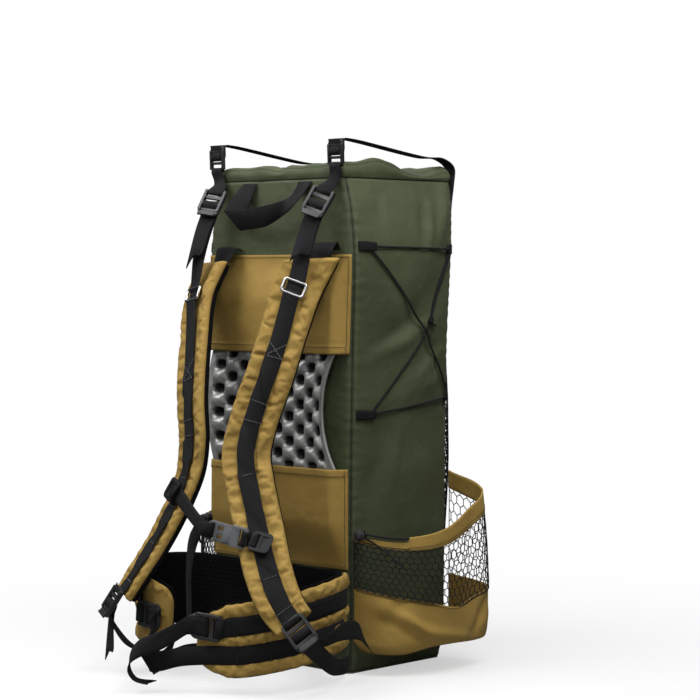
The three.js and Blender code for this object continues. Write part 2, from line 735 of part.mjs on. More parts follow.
// Lower strap: from the bag's bottom corner to the lock, and its free tail
const LOWER = {
  left: {
    corner: [
      { x: 138, y: -110, z: 16, ax: 0, ay: 0.2, az: 1 },
      { x: 158, y: -140, z: 20, ax: 0.2, ay: 0.1, az: 1 },
      { x: 190, y: -190, z: 30, ax: 0.5, ay: 0.2, az: 0.9 },
      { x: 214, y: -240, z: 54, ax: 0.7, ay: 0.3, az: 0.6 },
    ],
    tail: [
      { x: 226, y: -240, z: 76, ax: 0.5, ay: 0.2, az: 0.8 },
      { x: 212, y: -195, z: 80, ax: 0.1, ay: 0, az: 1 },
      { x: 198, y: -150, z: 72, ax: 0, ay: -0.2, az: 1 },
      { x: 190, y: -124, z: 46, ax: 0, ay: -0.8, az: 0.7 },
    ],
  },
  right: {
    corner: [
      { x: -136, y: -109, z: 16, ax: 0.2, ay: 0, az: 1 },
      { x: -128, y: -150, z: 17, ax: 0.7, ay: 0.1, az: 0.7 },
      { x: -112, y: -215, z: 17, ax: 1, ay: 0.1, az: 0.1 },
      { x: -102, y: -275, z: 22, ax: 1, ay: 0, az: 0 },
      { x: -102, y: -306, z: 48, ax: 1, ay: -0.2, az: 0 },
    ],
    tail: [
      { x: -110, y: -318, z: 46, ax: 0.94, ay: -0.34, az: 0 },
      { x: -112, y: -322, z: 16, ax: 0.94, ay: -0.34, az: 0 },
    ],
  },
};
const stationsOf = (rows) =>
  rows.map(({ x, y, z, ax, ay, az }) => station(x, y, z, new Vector3(ax, ay, az)));

const strapLines = {};
for (const [side, rows] of Object.entries(STRAPS)) {
  const turned = ({ turn }) =>
    new Vector3(Math.cos(MathUtils.degToRad(turn)), Math.sin(MathUtils.degToRad(turn)), 0);
  const line = track(rows, turned);
  strapLines[side] = line;
  add(`shoulder_strap_${side}`, padding(line, 0, LAST, 15, CUSHION), TAN);
  add(`strap_lining_${side}`, padding(line, 0, LAST, 15, lining(LINING_SEAM[side])), BLACK_MESH);

  const lower = line(LAST);
  const lowerUp = lower.along.clone().negate();
  const hang = lower.at.clone().addScaledVector(lower.along, LOCK_HANG.along);
  hang.addScaledVector(lower.out, LOCK_HANG.out);
  const lock = seat(hang, lower.across, lowerUp);
  place(add(`strap_buckle_${side}`, ladderLock(), PLASTIC), lock);

  const slid = line(SLIDER_AT);
  const raised = slid.at.clone().addScaledVector(slid.out, WEB_HEIGHT + SLIDER.wire);
  const ring = seat(raised, slid.across, slid.along.clone().negate());
  place(add(`strap_slider_${side}`, wireSlider(), STEEL), ring);

  const webbing = [
    ring.point(-4.4, -1.4),
    ring.point(-4.4, 1.6),
    ring.point(-6.6, 3),
    ring.point(-11.6, 3),
    ring.point(-18, 0),
    ...sewn(line, 2, LAST - 2 / 3, 11, WEB_HEIGHT),
    ...anchoredUnder(lock),
  ];
  add(`strap_webbing_${side}`, strip(webbing), WEBBING);

  const lifter = seat(LIFTERS[side].at, LIFTERS[side].across, LIFTERS[side].up);
  place(add(`lifter_buckle_${side}`, ladderLock(), PLASTIC), lifter);
  const grip = gripped(lifter).reverse();
  const rise = ring.point(4.6, 0).at;
  const up = grip[0].at.clone().sub(rise);
  const raisedAt = (t, lift) => ({
    at: rise.clone().addScaledVector(up, t).addScaledVector(slid.out, 5 * Math.sin(Math.PI * t) + lift),
    across: slid.across.clone().lerp(grip[0].across, t).normalize(),
  });
  const climb = [0.3, 0.55, 0.8].map((t) => raisedAt(t, 0));
  const droop = LIFTER_TAIL.map(({ t, lift }) => raisedAt(t, lift));
  const lifting = [
    ring.point(4.4, -1.4),
    ring.point(4.4, 1.6),
    ring.point(6.6, 3),
    ring.point(11.6, 3),
    ring.point(18, 3.4),
    ...climb,
    ...grip,
    ...droop,
  ];
  add(`load_lifter_${side}`, strip(lifting), WEBBING);

  const { corner, tail } = LOWER[side];
  const lowering = [...stationsOf(corner), ...gripped(lock), ...stationsOf(tail)];
  add(`lower_strap_${side}`, strip(lowering), WEBBING);
}

// Roots: webbing that hangs each strap's upper end from the back panel
const ROOT = { width: 44, behind: 8.6, seam: { y: -107.8, z: 577 }, crown: { y: -113, z: 587 } };
for (const [side, line] of Object.entries(strapLines)) {
  const { at, across, along, out } = line(0);
  const x = new Vector3(1, 0, 0);
  const behind = at.clone().addScaledVector(out, -ROOT.behind);
  const arch = [
    station(at.x, ROOT.seam.y, ROOT.seam.z, x),
    station(at.x, ROOT.crown.y, ROOT.crown.z, x),
    { at: behind.clone().addScaledVector(along, -15), across: across.clone().lerp(x, 0.7).normalize() },
    { at: behind.clone().addScaledVector(along, -6), across },
    { at: behind.clone().addScaledVector(along, 14), across },
  ];
  add(`strap_root_${side}`, strip(arch, ROOT.width), WEBBING);
}

// Top straps: tabs at the upper corners, locks standing on them, webbing over to the front
const TOP = { x: 118, lock: { y: -112.5, z: 708 }, seam: { x: 114, y: -107.6, z: 671 } };
const TOP_RUN = [
  { y: -92, z: 727 },
  { y: 60, z: 708 },
  { y: 97, z: 707 },
  { y: 119, z: 695 },
  { y: 118, z: 673 },
];
const TOP_ENDS = [645, 585]; // heights down the front panel where the strap is sewn on

function frontSurface(x, z) {
  return outline("front", -x / rowAt(BAG, "z", z).halfWidth, z).y;
}

for (const [side, sign] of [["left", 1], ["right", -1]]) {
  const across = new Vector3(-1, 0, 0);
  const clear = WEB.thickness / 2 + 2 * GAP;
  const inside = TOP.x - WEB.width / 2;
  const lock = seat(new Vector3(sign * TOP.x, TOP.lock.y, TOP.lock.z), across, new Vector3(0, 0.04, -1));
  place(add(`top_buckle_${side}`, ladderLock(), PLASTIC), lock);
  const lifter = seat(LIFTERS[side].at, LIFTERS[side].across, LIFTERS[side].up);
  const flipped = ({ at, across: over }) => ({ at, across: over.clone().negate() });
  const tab = [
    ...anchored(lock, 22).reverse(),
    station(sign * TOP.seam.x, TOP.seam.y, TOP.seam.z, across),
    ...anchored(lifter, 22).map(flipped),
  ];
  add(`top_tab_${side}`, strip(tab), WEBBING);
  const run = [
    ...gripped(lock).slice(1),
    ...TOP_RUN.map(({ y, z }) => station(sign * TOP.x, y, z, across)),
    ...TOP_ENDS.map((z) => station(sign * TOP.x, frontSurface(inside, z) + clear, z, across)),
  ];
  add(`top_strap_${side}`, strip(run), WEBBING);
}

// Haul loop: webbing that falls from the collar seam, folds over and runs back up, by its two edges
const HAUL = [
  { from: [-71, -106.3, 671], to: [-43, -106.3, 671] },
  { from: [-74, -122, 654], to: [-47, -116, 643] },
  { from: [-75, -139, 633], to: [-57, -124, 606] },
  { from: [-72, -142.5, 633], to: [-54, -127.5, 605] },
  { from: [-26, -144, 634], to: [-32, -134, 606] },
  { from: [13, -143, 639], to: [6, -136, 610] },
  { from: [36, -138, 644], to: [27, -134, 619] },
  { from: [45, -127, 651], to: [57, -137, 634] },
  { from: [42, -113, 663], to: [67, -120, 658] },
  { from: [39, -106.3, 671], to: [66, -106.3, 671] },
];
const spanned = ({ from, to }) => {
  const [a, b] = [new Vector3(...from), new Vector3(...to)];
  return { at: a.clone().lerp(b, 0.5), across: b.sub(a).divideScalar(WEB.width) };
};
add("haul_loop", strip(HAUL.map(spanned)), WEBBING);

// Sternum strap: sliders clipped over the strap webbing, joined by a fastened buckle
const CHEST = { width: 20, left: 7.4, right: 6, lift: 9, reach: 47 };
const CHEST_WAY = new Vector3(-0.84, -0.5, 0.22).normalize(); // from the near slider to the buckle
const CHEST_SLIDER = { width: 29, length: 26, thickness: 4, slotWidth: 22, slot: 5.5, slotAt: 6 };
const CHEST_BUCKLE = { width: 28, length: 54, thickness: 8, slotWidth: 22, slot: 5.5, slotAt: 20 };
const CHEST_TAIL = [
  { x: 34, y: -290, z: 203, ax: -0.4, ay: -0.1, az: 1 },
  { x: 18, y: -284, z: 186, ax: -0.9, ay: 0.1, az: 0.5 },
  { x: 12, y: -285, z: 150, ax: -0.93, ay: 0.36, az: 0 },
  { x: 12, y: -284, z: 78, ax: -0.93, ay: 0.36, az: 0 },
];

function slottedPlate({ width, length, thickness, slotWidth, slot, slotAt }, ends = [1]) {
  const shape = roundedRectangle(width, length, 4);
  for (const end of ends) {
    shape.holes.push(rectangle(slotWidth, slot, end * slotAt));
  }
  const plate = { depth: thickness, bevelEnabled: false, curveSegments: 1 };
  return new THREE.ExtrudeGeometry(shape, plate).translate(0, 0, -thickness / 2);
}

// Webbing turned round the bar outside a slot, at the upper or the lower end of a plate
function turned(lock, { thickness, length, slotAt }, end, over, under) {
  const clear = thickness / 2 + WEB.thickness / 2 + GAP;
  const bar = length / 2;
  return [
    lock.point(end * (bar + over), clear),
    lock.point(end * (slotAt + 1.6), clear),
    lock.point(end * (slotAt - 0.4), clear - 1.8),
    lock.point(end * (slotAt - 0.4), 1.8 - clear),
    lock.point(end * (slotAt + 1.6), -clear),
    lock.point(end * (bar + under), -clear),
  ];
}

const chestEnds = ["left", "right"].map((side) => {
  const { at, across, along, out } = strapLines[side](CHEST[side]);
  const height = WEB_HEIGHT + WEB.thickness / 2 + CHEST.lift;
  return { at: at.clone().addScaledVector(out, height), along, across, out };
});
const chestMiddle = chestEnds[0].at.clone().addScaledVector(CHEST_WAY, CHEST.reach);
const upright = new Vector3(0, 0, 1);
const chestBuckle = seat(chestMiddle, upright, chestEnds[0].at.clone().sub(chestMiddle));
place(add("sternum_buckle", slottedPlate(CHEST_BUCKLE, [1, -1]), PLASTIC), chestBuckle);
["left", "right"].forEach((side, i) => {
  const { at, along } = chestEnds[i];
  const end = i === 0 ? 1 : -1;
  const towards = chestBuckle.point(end * 27, 0).at.sub(at);
  const slider = seat(at, along.clone().multiplyScalar(i === 0 ? 1 : -1), towards);
  place(add(`sternum_slider_${side}`, slottedPlate(CHEST_SLIDER), PLASTIC), slider);
  const near = turned(slider, CHEST_SLIDER, 1, 4, 2).reverse();
  const far = turned(chestBuckle, CHEST_BUCKLE, end, 6, 6);
  const facing = near.at(-1).across.dot(far[0].across) < 0 ? -1 : 1;
  const matched = far.map((s) => ({ at: s.at, across: s.across.clone().multiplyScalar(facing) }));
  const tail = side === "right" ? stationsOf(CHEST_TAIL) : [];
  const tailFacing = tail.length && tail[0].across.dot(matched.at(-1).across) < 0 ? -1 : 1;
  tail.forEach((s) => s.across.multiplyScalar(tailFacing));
  add(`sternum_strap_${side}`, strip([...near, ...matched, ...tail], CHEST.width), WEBBING);
});

// Hip belt: one lining from tip to tip, passing behind the waist, with a padded wing each side
const BELT = [
  { x: -28, y: -276, z: 82, width: 70 },
  { x: -62, y: -281, z: 85, width: 94 },
  { x: -108, y: -262, z: 88, width: 98 },
  { x: -150, y: -220, z: 92, width: 100 },
  { x: -168, y: -172, z: 95, width: 102 },
  { x: -146, y: -132, z: 94, width: 102 },
  { x: -92, y: -109.6, z: 91, width: 100 },
  { x: 0, y: -108, z: 91, width: 100 },
  { x: 92, y: -109.6, z: 91, width: 100 },
  { x: 146, y: -132, z: 95, width: 102 },
  { x: 172, y: -172, z: 94, width: 102 },
  { x: 172, y: -222, z: 86, width: 101 },
  { x: 152, y: -268, z: 77, width: 100 },
  { x: 112, y: -306, z: 69, width: 98 },
  { x: 74, y: -325, z: 72, width: 60 },
];
const WING = [
  { v: -1, outer: 2, inner: SEAM },
  { v: -0.74, outer: 8, inner: SEAM },
  { v: 0, outer: 8, inner: SEAM },
  { v: 0.74, outer: 8, inner: SEAM },
  { v: 1, outer: 2, inner: SEAM },
];
const BELT_LINING = [
  { v: -1, outer: -0.3, inner: -5 },
  { v: 1, outer: -0.3, inner: -5 },
];
const WING_SPAN = { left: [9, 14], right: [0, 5] };
const BANDS = { upper: -0.38, lower: 0.38 }; // places of the webbing across the wing
const BAND_HEIGHT = 8 + GAP + WEB.thickness / 2;
const LOCK_AT = { left: 13.62, right: 0.9 };
const LOCK_DROP = { left: -18, right: 2 }; // the lock's height on the wing, downwards
const BAND_SPAN = { left: [9.5, 13], right: [4.5, 1.5] };
const BUCKLE = { width: 38, length: 58, thickness: 10, slotWidth: 27.5, slot: 6, slotAt: 21.5 };
const BUCKLE_SEAT = {
  at: new Vector3(4, -350, 40),
  across: new Vector3(0.35, 0.35, -0.87),
  up: new Vector3(0.8, -0.58, 0),
};
// The free webbing from each wing to the buckle
const REACH = {
  left: {
    low: [
      { x: 74, y: -342, z: 52, ax: 0.05, ay: 0.05, az: -1 },
      { x: 56, y: -360, z: 44, ax: 0.2, ay: 0.2, az: -1 },
    ],
    high: [{ x: 56, y: -352, z: 62, ax: 0.2, ay: 0.2, az: -1 }],
    tail: [
      { x: 61, y: -365, z: 71, ax: 0, ay: 0, az: -1 },
      { x: 36, y: -382, z: 66, ax: 0.1, ay: -0.1, az: -1 },
      { x: 17, y: -390, z: 51, ax: 0.4, ay: -0.5, az: -0.8 },
      { x: 9.5, y: -390, z: 36, ax: 0.65, ay: -0.7, az: -0.3 },
      { x: 11, y: -386, z: 21, ax: 0.69, ay: -0.72, az: 0 },
      { x: 19, y: -377, z: 12, ax: 0.69, ay: -0.72, az: 0 },
      { x: 34, y: -363, z: 12.5, ax: 0.69, ay: -0.72, az: 0 },
    ],
  },
  right: {
    high: [
      { x: -34, y: -312, z: 64, ax: 0.15, ay: 0.15, az: -1 },
      { x: -40, y: -306, z: 78, ax: 0.1, ay: 0.1, az: -1 },
    ],
  },
};

// Webbing under a lock, round its gripping bar and out over the lip as a short tail
const grippedOver = (lock) => [
  lock.point(-27, -CLEAR),
  lock.point(0.6, -CLEAR),
  lock.point(2.6, -1.4),
  lock.point(2.6, 1.4),
  lock.point(0.6, CLEAR),
  lock.point(-14, CLEAR + 0.2),
  lock.point(-30, CLEAR + 1.5),
];

const belt = track(BELT, () => new Vector3(0, 0, -1));
add("hip_belt_lining", padding(belt, 0, BELT.length - 1, 28, BELT_LINING), BLACK_MESH);
const buckleSeat = seat(BUCKLE_SEAT.at, BUCKLE_SEAT.across, BUCKLE_SEAT.up);
place(add("belt_buckle", slottedPlate(BUCKLE, [1, -1]), PLASTIC), buckleSeat);

for (const [side, sign] of [["left", 1], ["right", -1]]) {
  const [from, to] = WING_SPAN[side];
  add(`hip_wing_${side}`, padding(belt, from, to, 10, WING), TAN);
  const here = belt(LOCK_AT[side]);
  const across = here.across.clone().multiplyScalar(sign);
  const height = BAND_HEIGHT + CLEAR;
  const middle = here.at.clone().addScaledVector(here.out, height);
  middle.addScaledVector(here.across, LOCK_DROP[side]);
  const lock = seat(middle, across, here.along.clone().multiplyScalar(-sign));
  place(add(`hip_ladder_${side}`, ladderLock(), PLASTIC), lock);
  const level = (list) => list.map(({ at, across: a }) => ({ at, across: a.clone().multiplyScalar(sign) }));
  const [start, stop] = BAND_SPAN[side];
  const band = sewn(belt, start, stop, Math.abs(stop - start) * 2, BAND_HEIGHT, BANDS.upper);
  add(`hip_band_${side}`, strip([...band, ...level(anchoredUnder(lock))]), WEBBING);
  const lower = sewn(belt, start, stop, Math.abs(stop - start) * 2, BAND_HEIGHT, BANDS.lower);
  const bar = turned(buckleSeat, BUCKLE, sign, 8, 8);
  const reach = REACH[side];
  const high = stationsOf(reach.high);
  const run = side === "left"
    ? [...lower, ...stationsOf(reach.low), ...bar, ...high, ...grippedOver(lock), ...stationsOf(reach.tail)]
    : [...bar.slice(1), ...high, ...level(grippedOver(lock))];
  add(`hip_strap_${side}`, strip(run), WEBBING);
}

export default pack;
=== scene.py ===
# %% [markdown]
# # Dressing an ultralight backpack
# The frame holds the pack's solids at their real size. This lesson gives each one its cloth,
# webbing, net, foam or moulded finish. Tables and sizes are written in millimetres, as on a
# pattern sheet, and MM turns them into Blender's metres when a mesh is laid out.

# %% Load the frame
import math

import bpy
import numpy as np
from mathutils import Matrix, Vector, noise


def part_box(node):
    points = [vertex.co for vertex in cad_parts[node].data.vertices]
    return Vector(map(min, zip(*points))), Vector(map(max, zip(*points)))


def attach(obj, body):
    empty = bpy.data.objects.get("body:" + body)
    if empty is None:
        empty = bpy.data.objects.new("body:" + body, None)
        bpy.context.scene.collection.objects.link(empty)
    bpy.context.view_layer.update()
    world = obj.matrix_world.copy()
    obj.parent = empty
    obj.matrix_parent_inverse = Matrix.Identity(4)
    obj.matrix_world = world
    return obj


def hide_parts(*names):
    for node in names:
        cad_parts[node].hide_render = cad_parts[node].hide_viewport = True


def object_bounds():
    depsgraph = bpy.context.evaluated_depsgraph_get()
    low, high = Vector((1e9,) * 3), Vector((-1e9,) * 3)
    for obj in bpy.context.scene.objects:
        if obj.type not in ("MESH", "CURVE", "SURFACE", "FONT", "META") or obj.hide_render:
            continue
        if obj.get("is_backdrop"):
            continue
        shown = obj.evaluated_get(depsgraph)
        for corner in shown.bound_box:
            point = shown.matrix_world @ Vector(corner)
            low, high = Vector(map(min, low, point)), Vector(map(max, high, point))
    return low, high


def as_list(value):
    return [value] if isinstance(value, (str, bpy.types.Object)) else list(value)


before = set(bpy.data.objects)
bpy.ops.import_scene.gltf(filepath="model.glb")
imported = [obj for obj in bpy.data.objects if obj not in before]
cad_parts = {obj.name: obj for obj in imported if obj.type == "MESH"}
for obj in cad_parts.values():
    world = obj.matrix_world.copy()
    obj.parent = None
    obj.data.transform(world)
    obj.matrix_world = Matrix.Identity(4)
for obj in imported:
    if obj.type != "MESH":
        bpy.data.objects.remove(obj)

MM = 0.001
BODY = "root"
bpy.context.tool_settings.mesh_select_mode = (False, True, False)  # edges, for the bevels
SIDES = {"left": 1, "right": -1}
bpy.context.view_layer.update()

# %% [markdown]
# ## Camera, floor and light
# The picture looks at the harness from its left, a little above the middle of the pack. A long
# lens stands about three metres away, so that upright seams stay upright. The floor is a pale
# sheet that fades to white, and large soft lamps stand in for studio boxes.

# %% Camera
PICTURE = 700  # pixels along a side
LENS = {"sensor": 36.0, "focal_px": 2145, "horizon_px": 270}
STAND = {"azimuth": 44.0, "away": 3064, "along": 25.6, "height": 550}

turn = math.radians(STAND["azimuth"])
backwards = Vector((math.sin(turn), -math.cos(turn), 0))
rightwards = Vector((math.cos(turn), math.sin(turn), 0))
pitch = math.atan((PICTURE / 2 - LENS["horizon_px"]) / LENS["focal_px"])
bpy.ops.object.camera_add()
camera = bpy.context.object
camera.location = (backwards * STAND["away"] + rightwards * STAND["along"]) * MM
camera.location.z = STAND["height"] * MM
gaze = -backwards * math.cos(pitch) - Vector((0, 0, math.sin(pitch)))
camera.rotation_mode = "QUATERNION"
camera.rotation_quaternion = gaze.to_track_quat("-Z", "Y")
camera.data.sensor_width = LENS["sensor"]
camera.data.lens = LENS["sensor"] * LENS["focal_px"] / PICTURE
bpy.context.scene.camera = camera
print("camera at", camera.location)

# %% Node helper
def feed(tree, socket, value):
    """Feeds a socket from another node's output, or sets it to a value."""
    if isinstance(value, bpy.types.NodeSocket):
        tree.links.new(value, socket)
    else:
        socket.default_value = value


def add_node(tree, kind, inputs=None, **settings):
    """Adds a shader node with its settings, and then its inputs."""
    made = tree.nodes.new(kind)
    for label, value in settings.items():
        setattr(made, label, value)
    for label, value in (inputs or {}).items():
        feed(tree, made.inputs[label], value)
    return made


print("node helper ready")

# %% Floor, lamps and surroundings
FLOOR = {"size": 40, "level": -0.0005, "near": -0.9, "far": 1.1, "tone": 0.86, "rough": 0.9}
LAMPS = [
    {"name": "key", "turn": -30, "rise": 50, "away": 1.9, "size": 1.6, "watts": 38},
    {"name": "side", "turn": 80, "rise": 56, "away": 1.6, "size": 0.9, "watts": 21},
    {"name": "fill", "turn": 38, "rise": 9, "away": 2.6, "size": 2.0, "watts": 15},
    {"name": "back", "turn": 215, "rise": 34, "away": 2.6, "size": 2.0, "watts": 14},
]
AIM = Vector((0, -0.05, 0.36))  # where the lamps point
SKY = 0.06  # strength of the even light from all round
WHITE = (1, 1, 1, 1)

bpy.ops.object.select_all(action="DESELECT")
bpy.ops.mesh.primitive_plane_add(size=FLOOR["size"], location=(0, 0, FLOOR["level"]))
floor = bpy.context.object
floor.name = "floor"
floor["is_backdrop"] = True
paper = bpy.data.materials.new("pale_paper")
paper.use_nodes = True
tree = paper.node_tree
shade = tree.nodes["Principled BSDF"]
shade.inputs["Base Color"].default_value = (FLOOR["tone"],) * 3 + (1,)
shade.inputs["Roughness"].default_value = FLOOR["rough"]
place = add_node(tree, "ShaderNodeTexCoord")
reach = add_node(tree, "ShaderNodeVectorMath", {0: place.outputs["Object"]}, operation="LENGTH")
fade = add_node(
    tree, "ShaderNodeMapRange",
    {"Value": reach.outputs["Value"], "From Min": FLOOR["near"], "From Max": FLOOR["far"]},
    interpolation_type="SMOOTHSTEP",
)
eye = add_node(tree, "ShaderNodeLightPath")
glow = add_node(tree, "ShaderNodeEmission", {"Strength": eye.outputs["Is Camera Ray"]})
layers = {"Fac": fade.outputs["Result"], 1: shade.outputs["BSDF"], 2: glow.outputs["Emission"]}
mixed = add_node(tree, "ShaderNodeMixShader", layers)
feed(tree, tree.nodes["Material Output"].inputs["Surface"], mixed.outputs["Shader"])
floor.data.materials.append(paper)

for lamp in LAMPS:
    a, e = math.radians(lamp["turn"]), math.radians(lamp["rise"])
    way = Vector((math.sin(a) * math.cos(e), -math.cos(a) * math.cos(e), math.sin(e)))
    bpy.ops.object.light_add(type="AREA", location=AIM + way * lamp["away"])
    light = bpy.context.object
    light.name = lamp["name"] + "_lamp"
    light.rotation_mode = "QUATERNION"
    light.rotation_quaternion = way.to_track_quat("Z", "Y")
    light.data.size = lamp["size"]
    light.data.energy = lamp["watts"]

world = bpy.data.worlds.new("studio")
world.use_nodes = True
tree = world.node_tree
even = tree.nodes["Background"]
even.inputs["Color"].default_value = WHITE
even.inputs["Strength"].default_value = SKY
white = add_node(tree, "ShaderNodeBackground", {"Color": WHITE})
eye = add_node(tree, "ShaderNodeLightPath")
layers = {"Fac": eye.outputs["Is Camera Ray"], 1: even.outputs["Background"], 2: white.outputs["Background"]}
mixed = add_node(tree, "ShaderNodeMixShader", layers)
feed(tree, tree.nodes["World Output"].inputs["Surface"], mixed.outputs["Shader"])
bpy.context.scene.world = world
bpy.context.scene.view_settings.view_transform = "Standard"
print("lamps:", len(LAMPS))

# %% [markdown]
# ## Shader groups
# Pack cloth, padding covers, tapes and plastics share a few effects: crossing threads, creases
# and uneven fading. Each effect is a node group that is built once, so that every finish can
# use it with its own scale and depth. Threads follow the UV map, which is laid out in metres.

# %% Group helpers
def sum_node(tree, operation, first, second=0.0, third=0.0):
    inputs = {0: first, 1: second, 2: third}
    return add_node(tree, "ShaderNodeMath", inputs, operation=operation).outputs[0]


def scaled_by(tree, vector, amount):
    return add_node(tree, "ShaderNodeVectorMath", {0: vector, "Scale": amount}, operation="SCALE").outputs[0]


def noise_node(tree, vector, detail, kind="FBM"):
    inputs = {"Scale": 1, "Detail": detail, "Vector": vector}
    return add_node(tree, "ShaderNodeTexNoise", inputs, noise_type=kind).outputs["Fac"]


def split(tree, vector):
    return add_node(tree, "ShaderNodeSeparateXYZ", {0: vector}).outputs


def new_group(name, inputs, outputs):
    group = bpy.data.node_groups.new(name, "ShaderNodeTree")
    for way, labels in (("INPUT", inputs), ("OUTPUT", outputs)):
        for label, kind in labels.items():
            group.interface.new_socket(name=label, in_out=way, socket_type="NodeSocket" + kind)
    start = group.nodes.new("NodeGroupInput")
    end = group.nodes.new("NodeGroupOutput")
    return group, start.outputs, end.inputs


print("group helpers ready")

# %% Crossing threads
weave_group, given, result = new_group(
    "crossing_threads", {"Vector": "Vector", "Threads": "Float"}, {"Height": "Float"}
)
parts = split(weave_group, scaled_by(weave_group, given["Vector"], given["Threads"]))
ribs = []
steps = []
for axis in "XY":
    angle = sum_node(weave_group, "MULTIPLY", parts[axis], math.pi)
    ribs.append(sum_node(weave_group, "ABSOLUTE", sum_node(weave_group, "SINE", angle)))
    steps.append(sum_node(weave_group, "FLOOR", parts[axis]))
over = sum_node(weave_group, "FLOORED_MODULO", sum_node(weave_group, "ADD", *steps), 2.0)
under = sum_node(weave_group, "SUBTRACT", 1.0, over)
warp = sum_node(weave_group, "MULTIPLY", ribs[0], over)
feed(weave_group, result["Height"], sum_node(weave_group, "MULTIPLY_ADD", ribs[1], under, warp))
print(weave_group.name, len(weave_group.nodes), "nodes")

# %% Tape ribs: slanting cords that turn back in a chevron, as in woven strapping
tape_group, given, result = new_group(
    "tape_ribs", {"Vector": "Vector", "Ribs": "Float", "Chevrons": "Float"}, {"Height": "Float"}
)
parts = split(tape_group, given["Vector"])
across = sum_node(tape_group, "MULTIPLY", parts["X"], given["Chevrons"])
slant = sum_node(tape_group, "PINGPONG", across, 1.0)
along = sum_node(tape_group, "MULTIPLY_ADD", parts["Y"], given["Ribs"], slant)
angle = sum_node(tape_group, "MULTIPLY", along, math.pi)
feed(tape_group, result["Height"], sum_node(tape_group, "ABSOLUTE", sum_node(tape_group, "SINE", angle)))
print(tape_group.name, len(tape_group.nodes), "nodes")

# %% Creases and fading
CREASING = {"soft_detail": 3.0, "sharp_detail": 1.5, "sharp_share": 0.3}
FADING = {"detail": 4.0, "from": 0.35, "to": 0.68}

crease_group, given, result = new_group(
    "creases", {"Vector": "Vector", "Per metre": "Float"}, {"Height": "Float"}
)
field = scaled_by(crease_group, given["Vector"], given["Per metre"])
soft = noise_node(crease_group, field, CREASING["soft_detail"])
sharp = noise_node(crease_group, field, CREASING["sharp_detail"], "RIDGED_MULTIFRACTAL")
both = sum_node(crease_group, "MULTIPLY_ADD", sharp, CREASING["sharp_share"], soft)
feed(crease_group, result["Height"], both)

fade_group, given, result = new_group(
    "fading", {"Vector": "Vector", "Per metre": "Float", "Fresh": "Color", "Faded": "Color"},
    {"Color": "Color", "Mask": "Float"},
)
field = scaled_by(fade_group, given["Vector"], given["Per metre"])
patch = add_node(fade_group, "ShaderNodeMapRange", {
    "Value": noise_node(fade_group, field, FADING["detail"]),
    "From Min": FADING["from"], "From Max": FADING["to"],
}).outputs["Result"]
colours = {"Factor": patch, "A": given["Fresh"], "B": given["Faded"]}
tint = add_node(fade_group, "ShaderNodeMix", colours, data_type="RGBA")
feed(fade_group, result["Color"], tint.outputs["Result"])
feed(fade_group, result["Mask"], patch)
print("shader groups:", [g.name for g in bpy.data.node_groups])
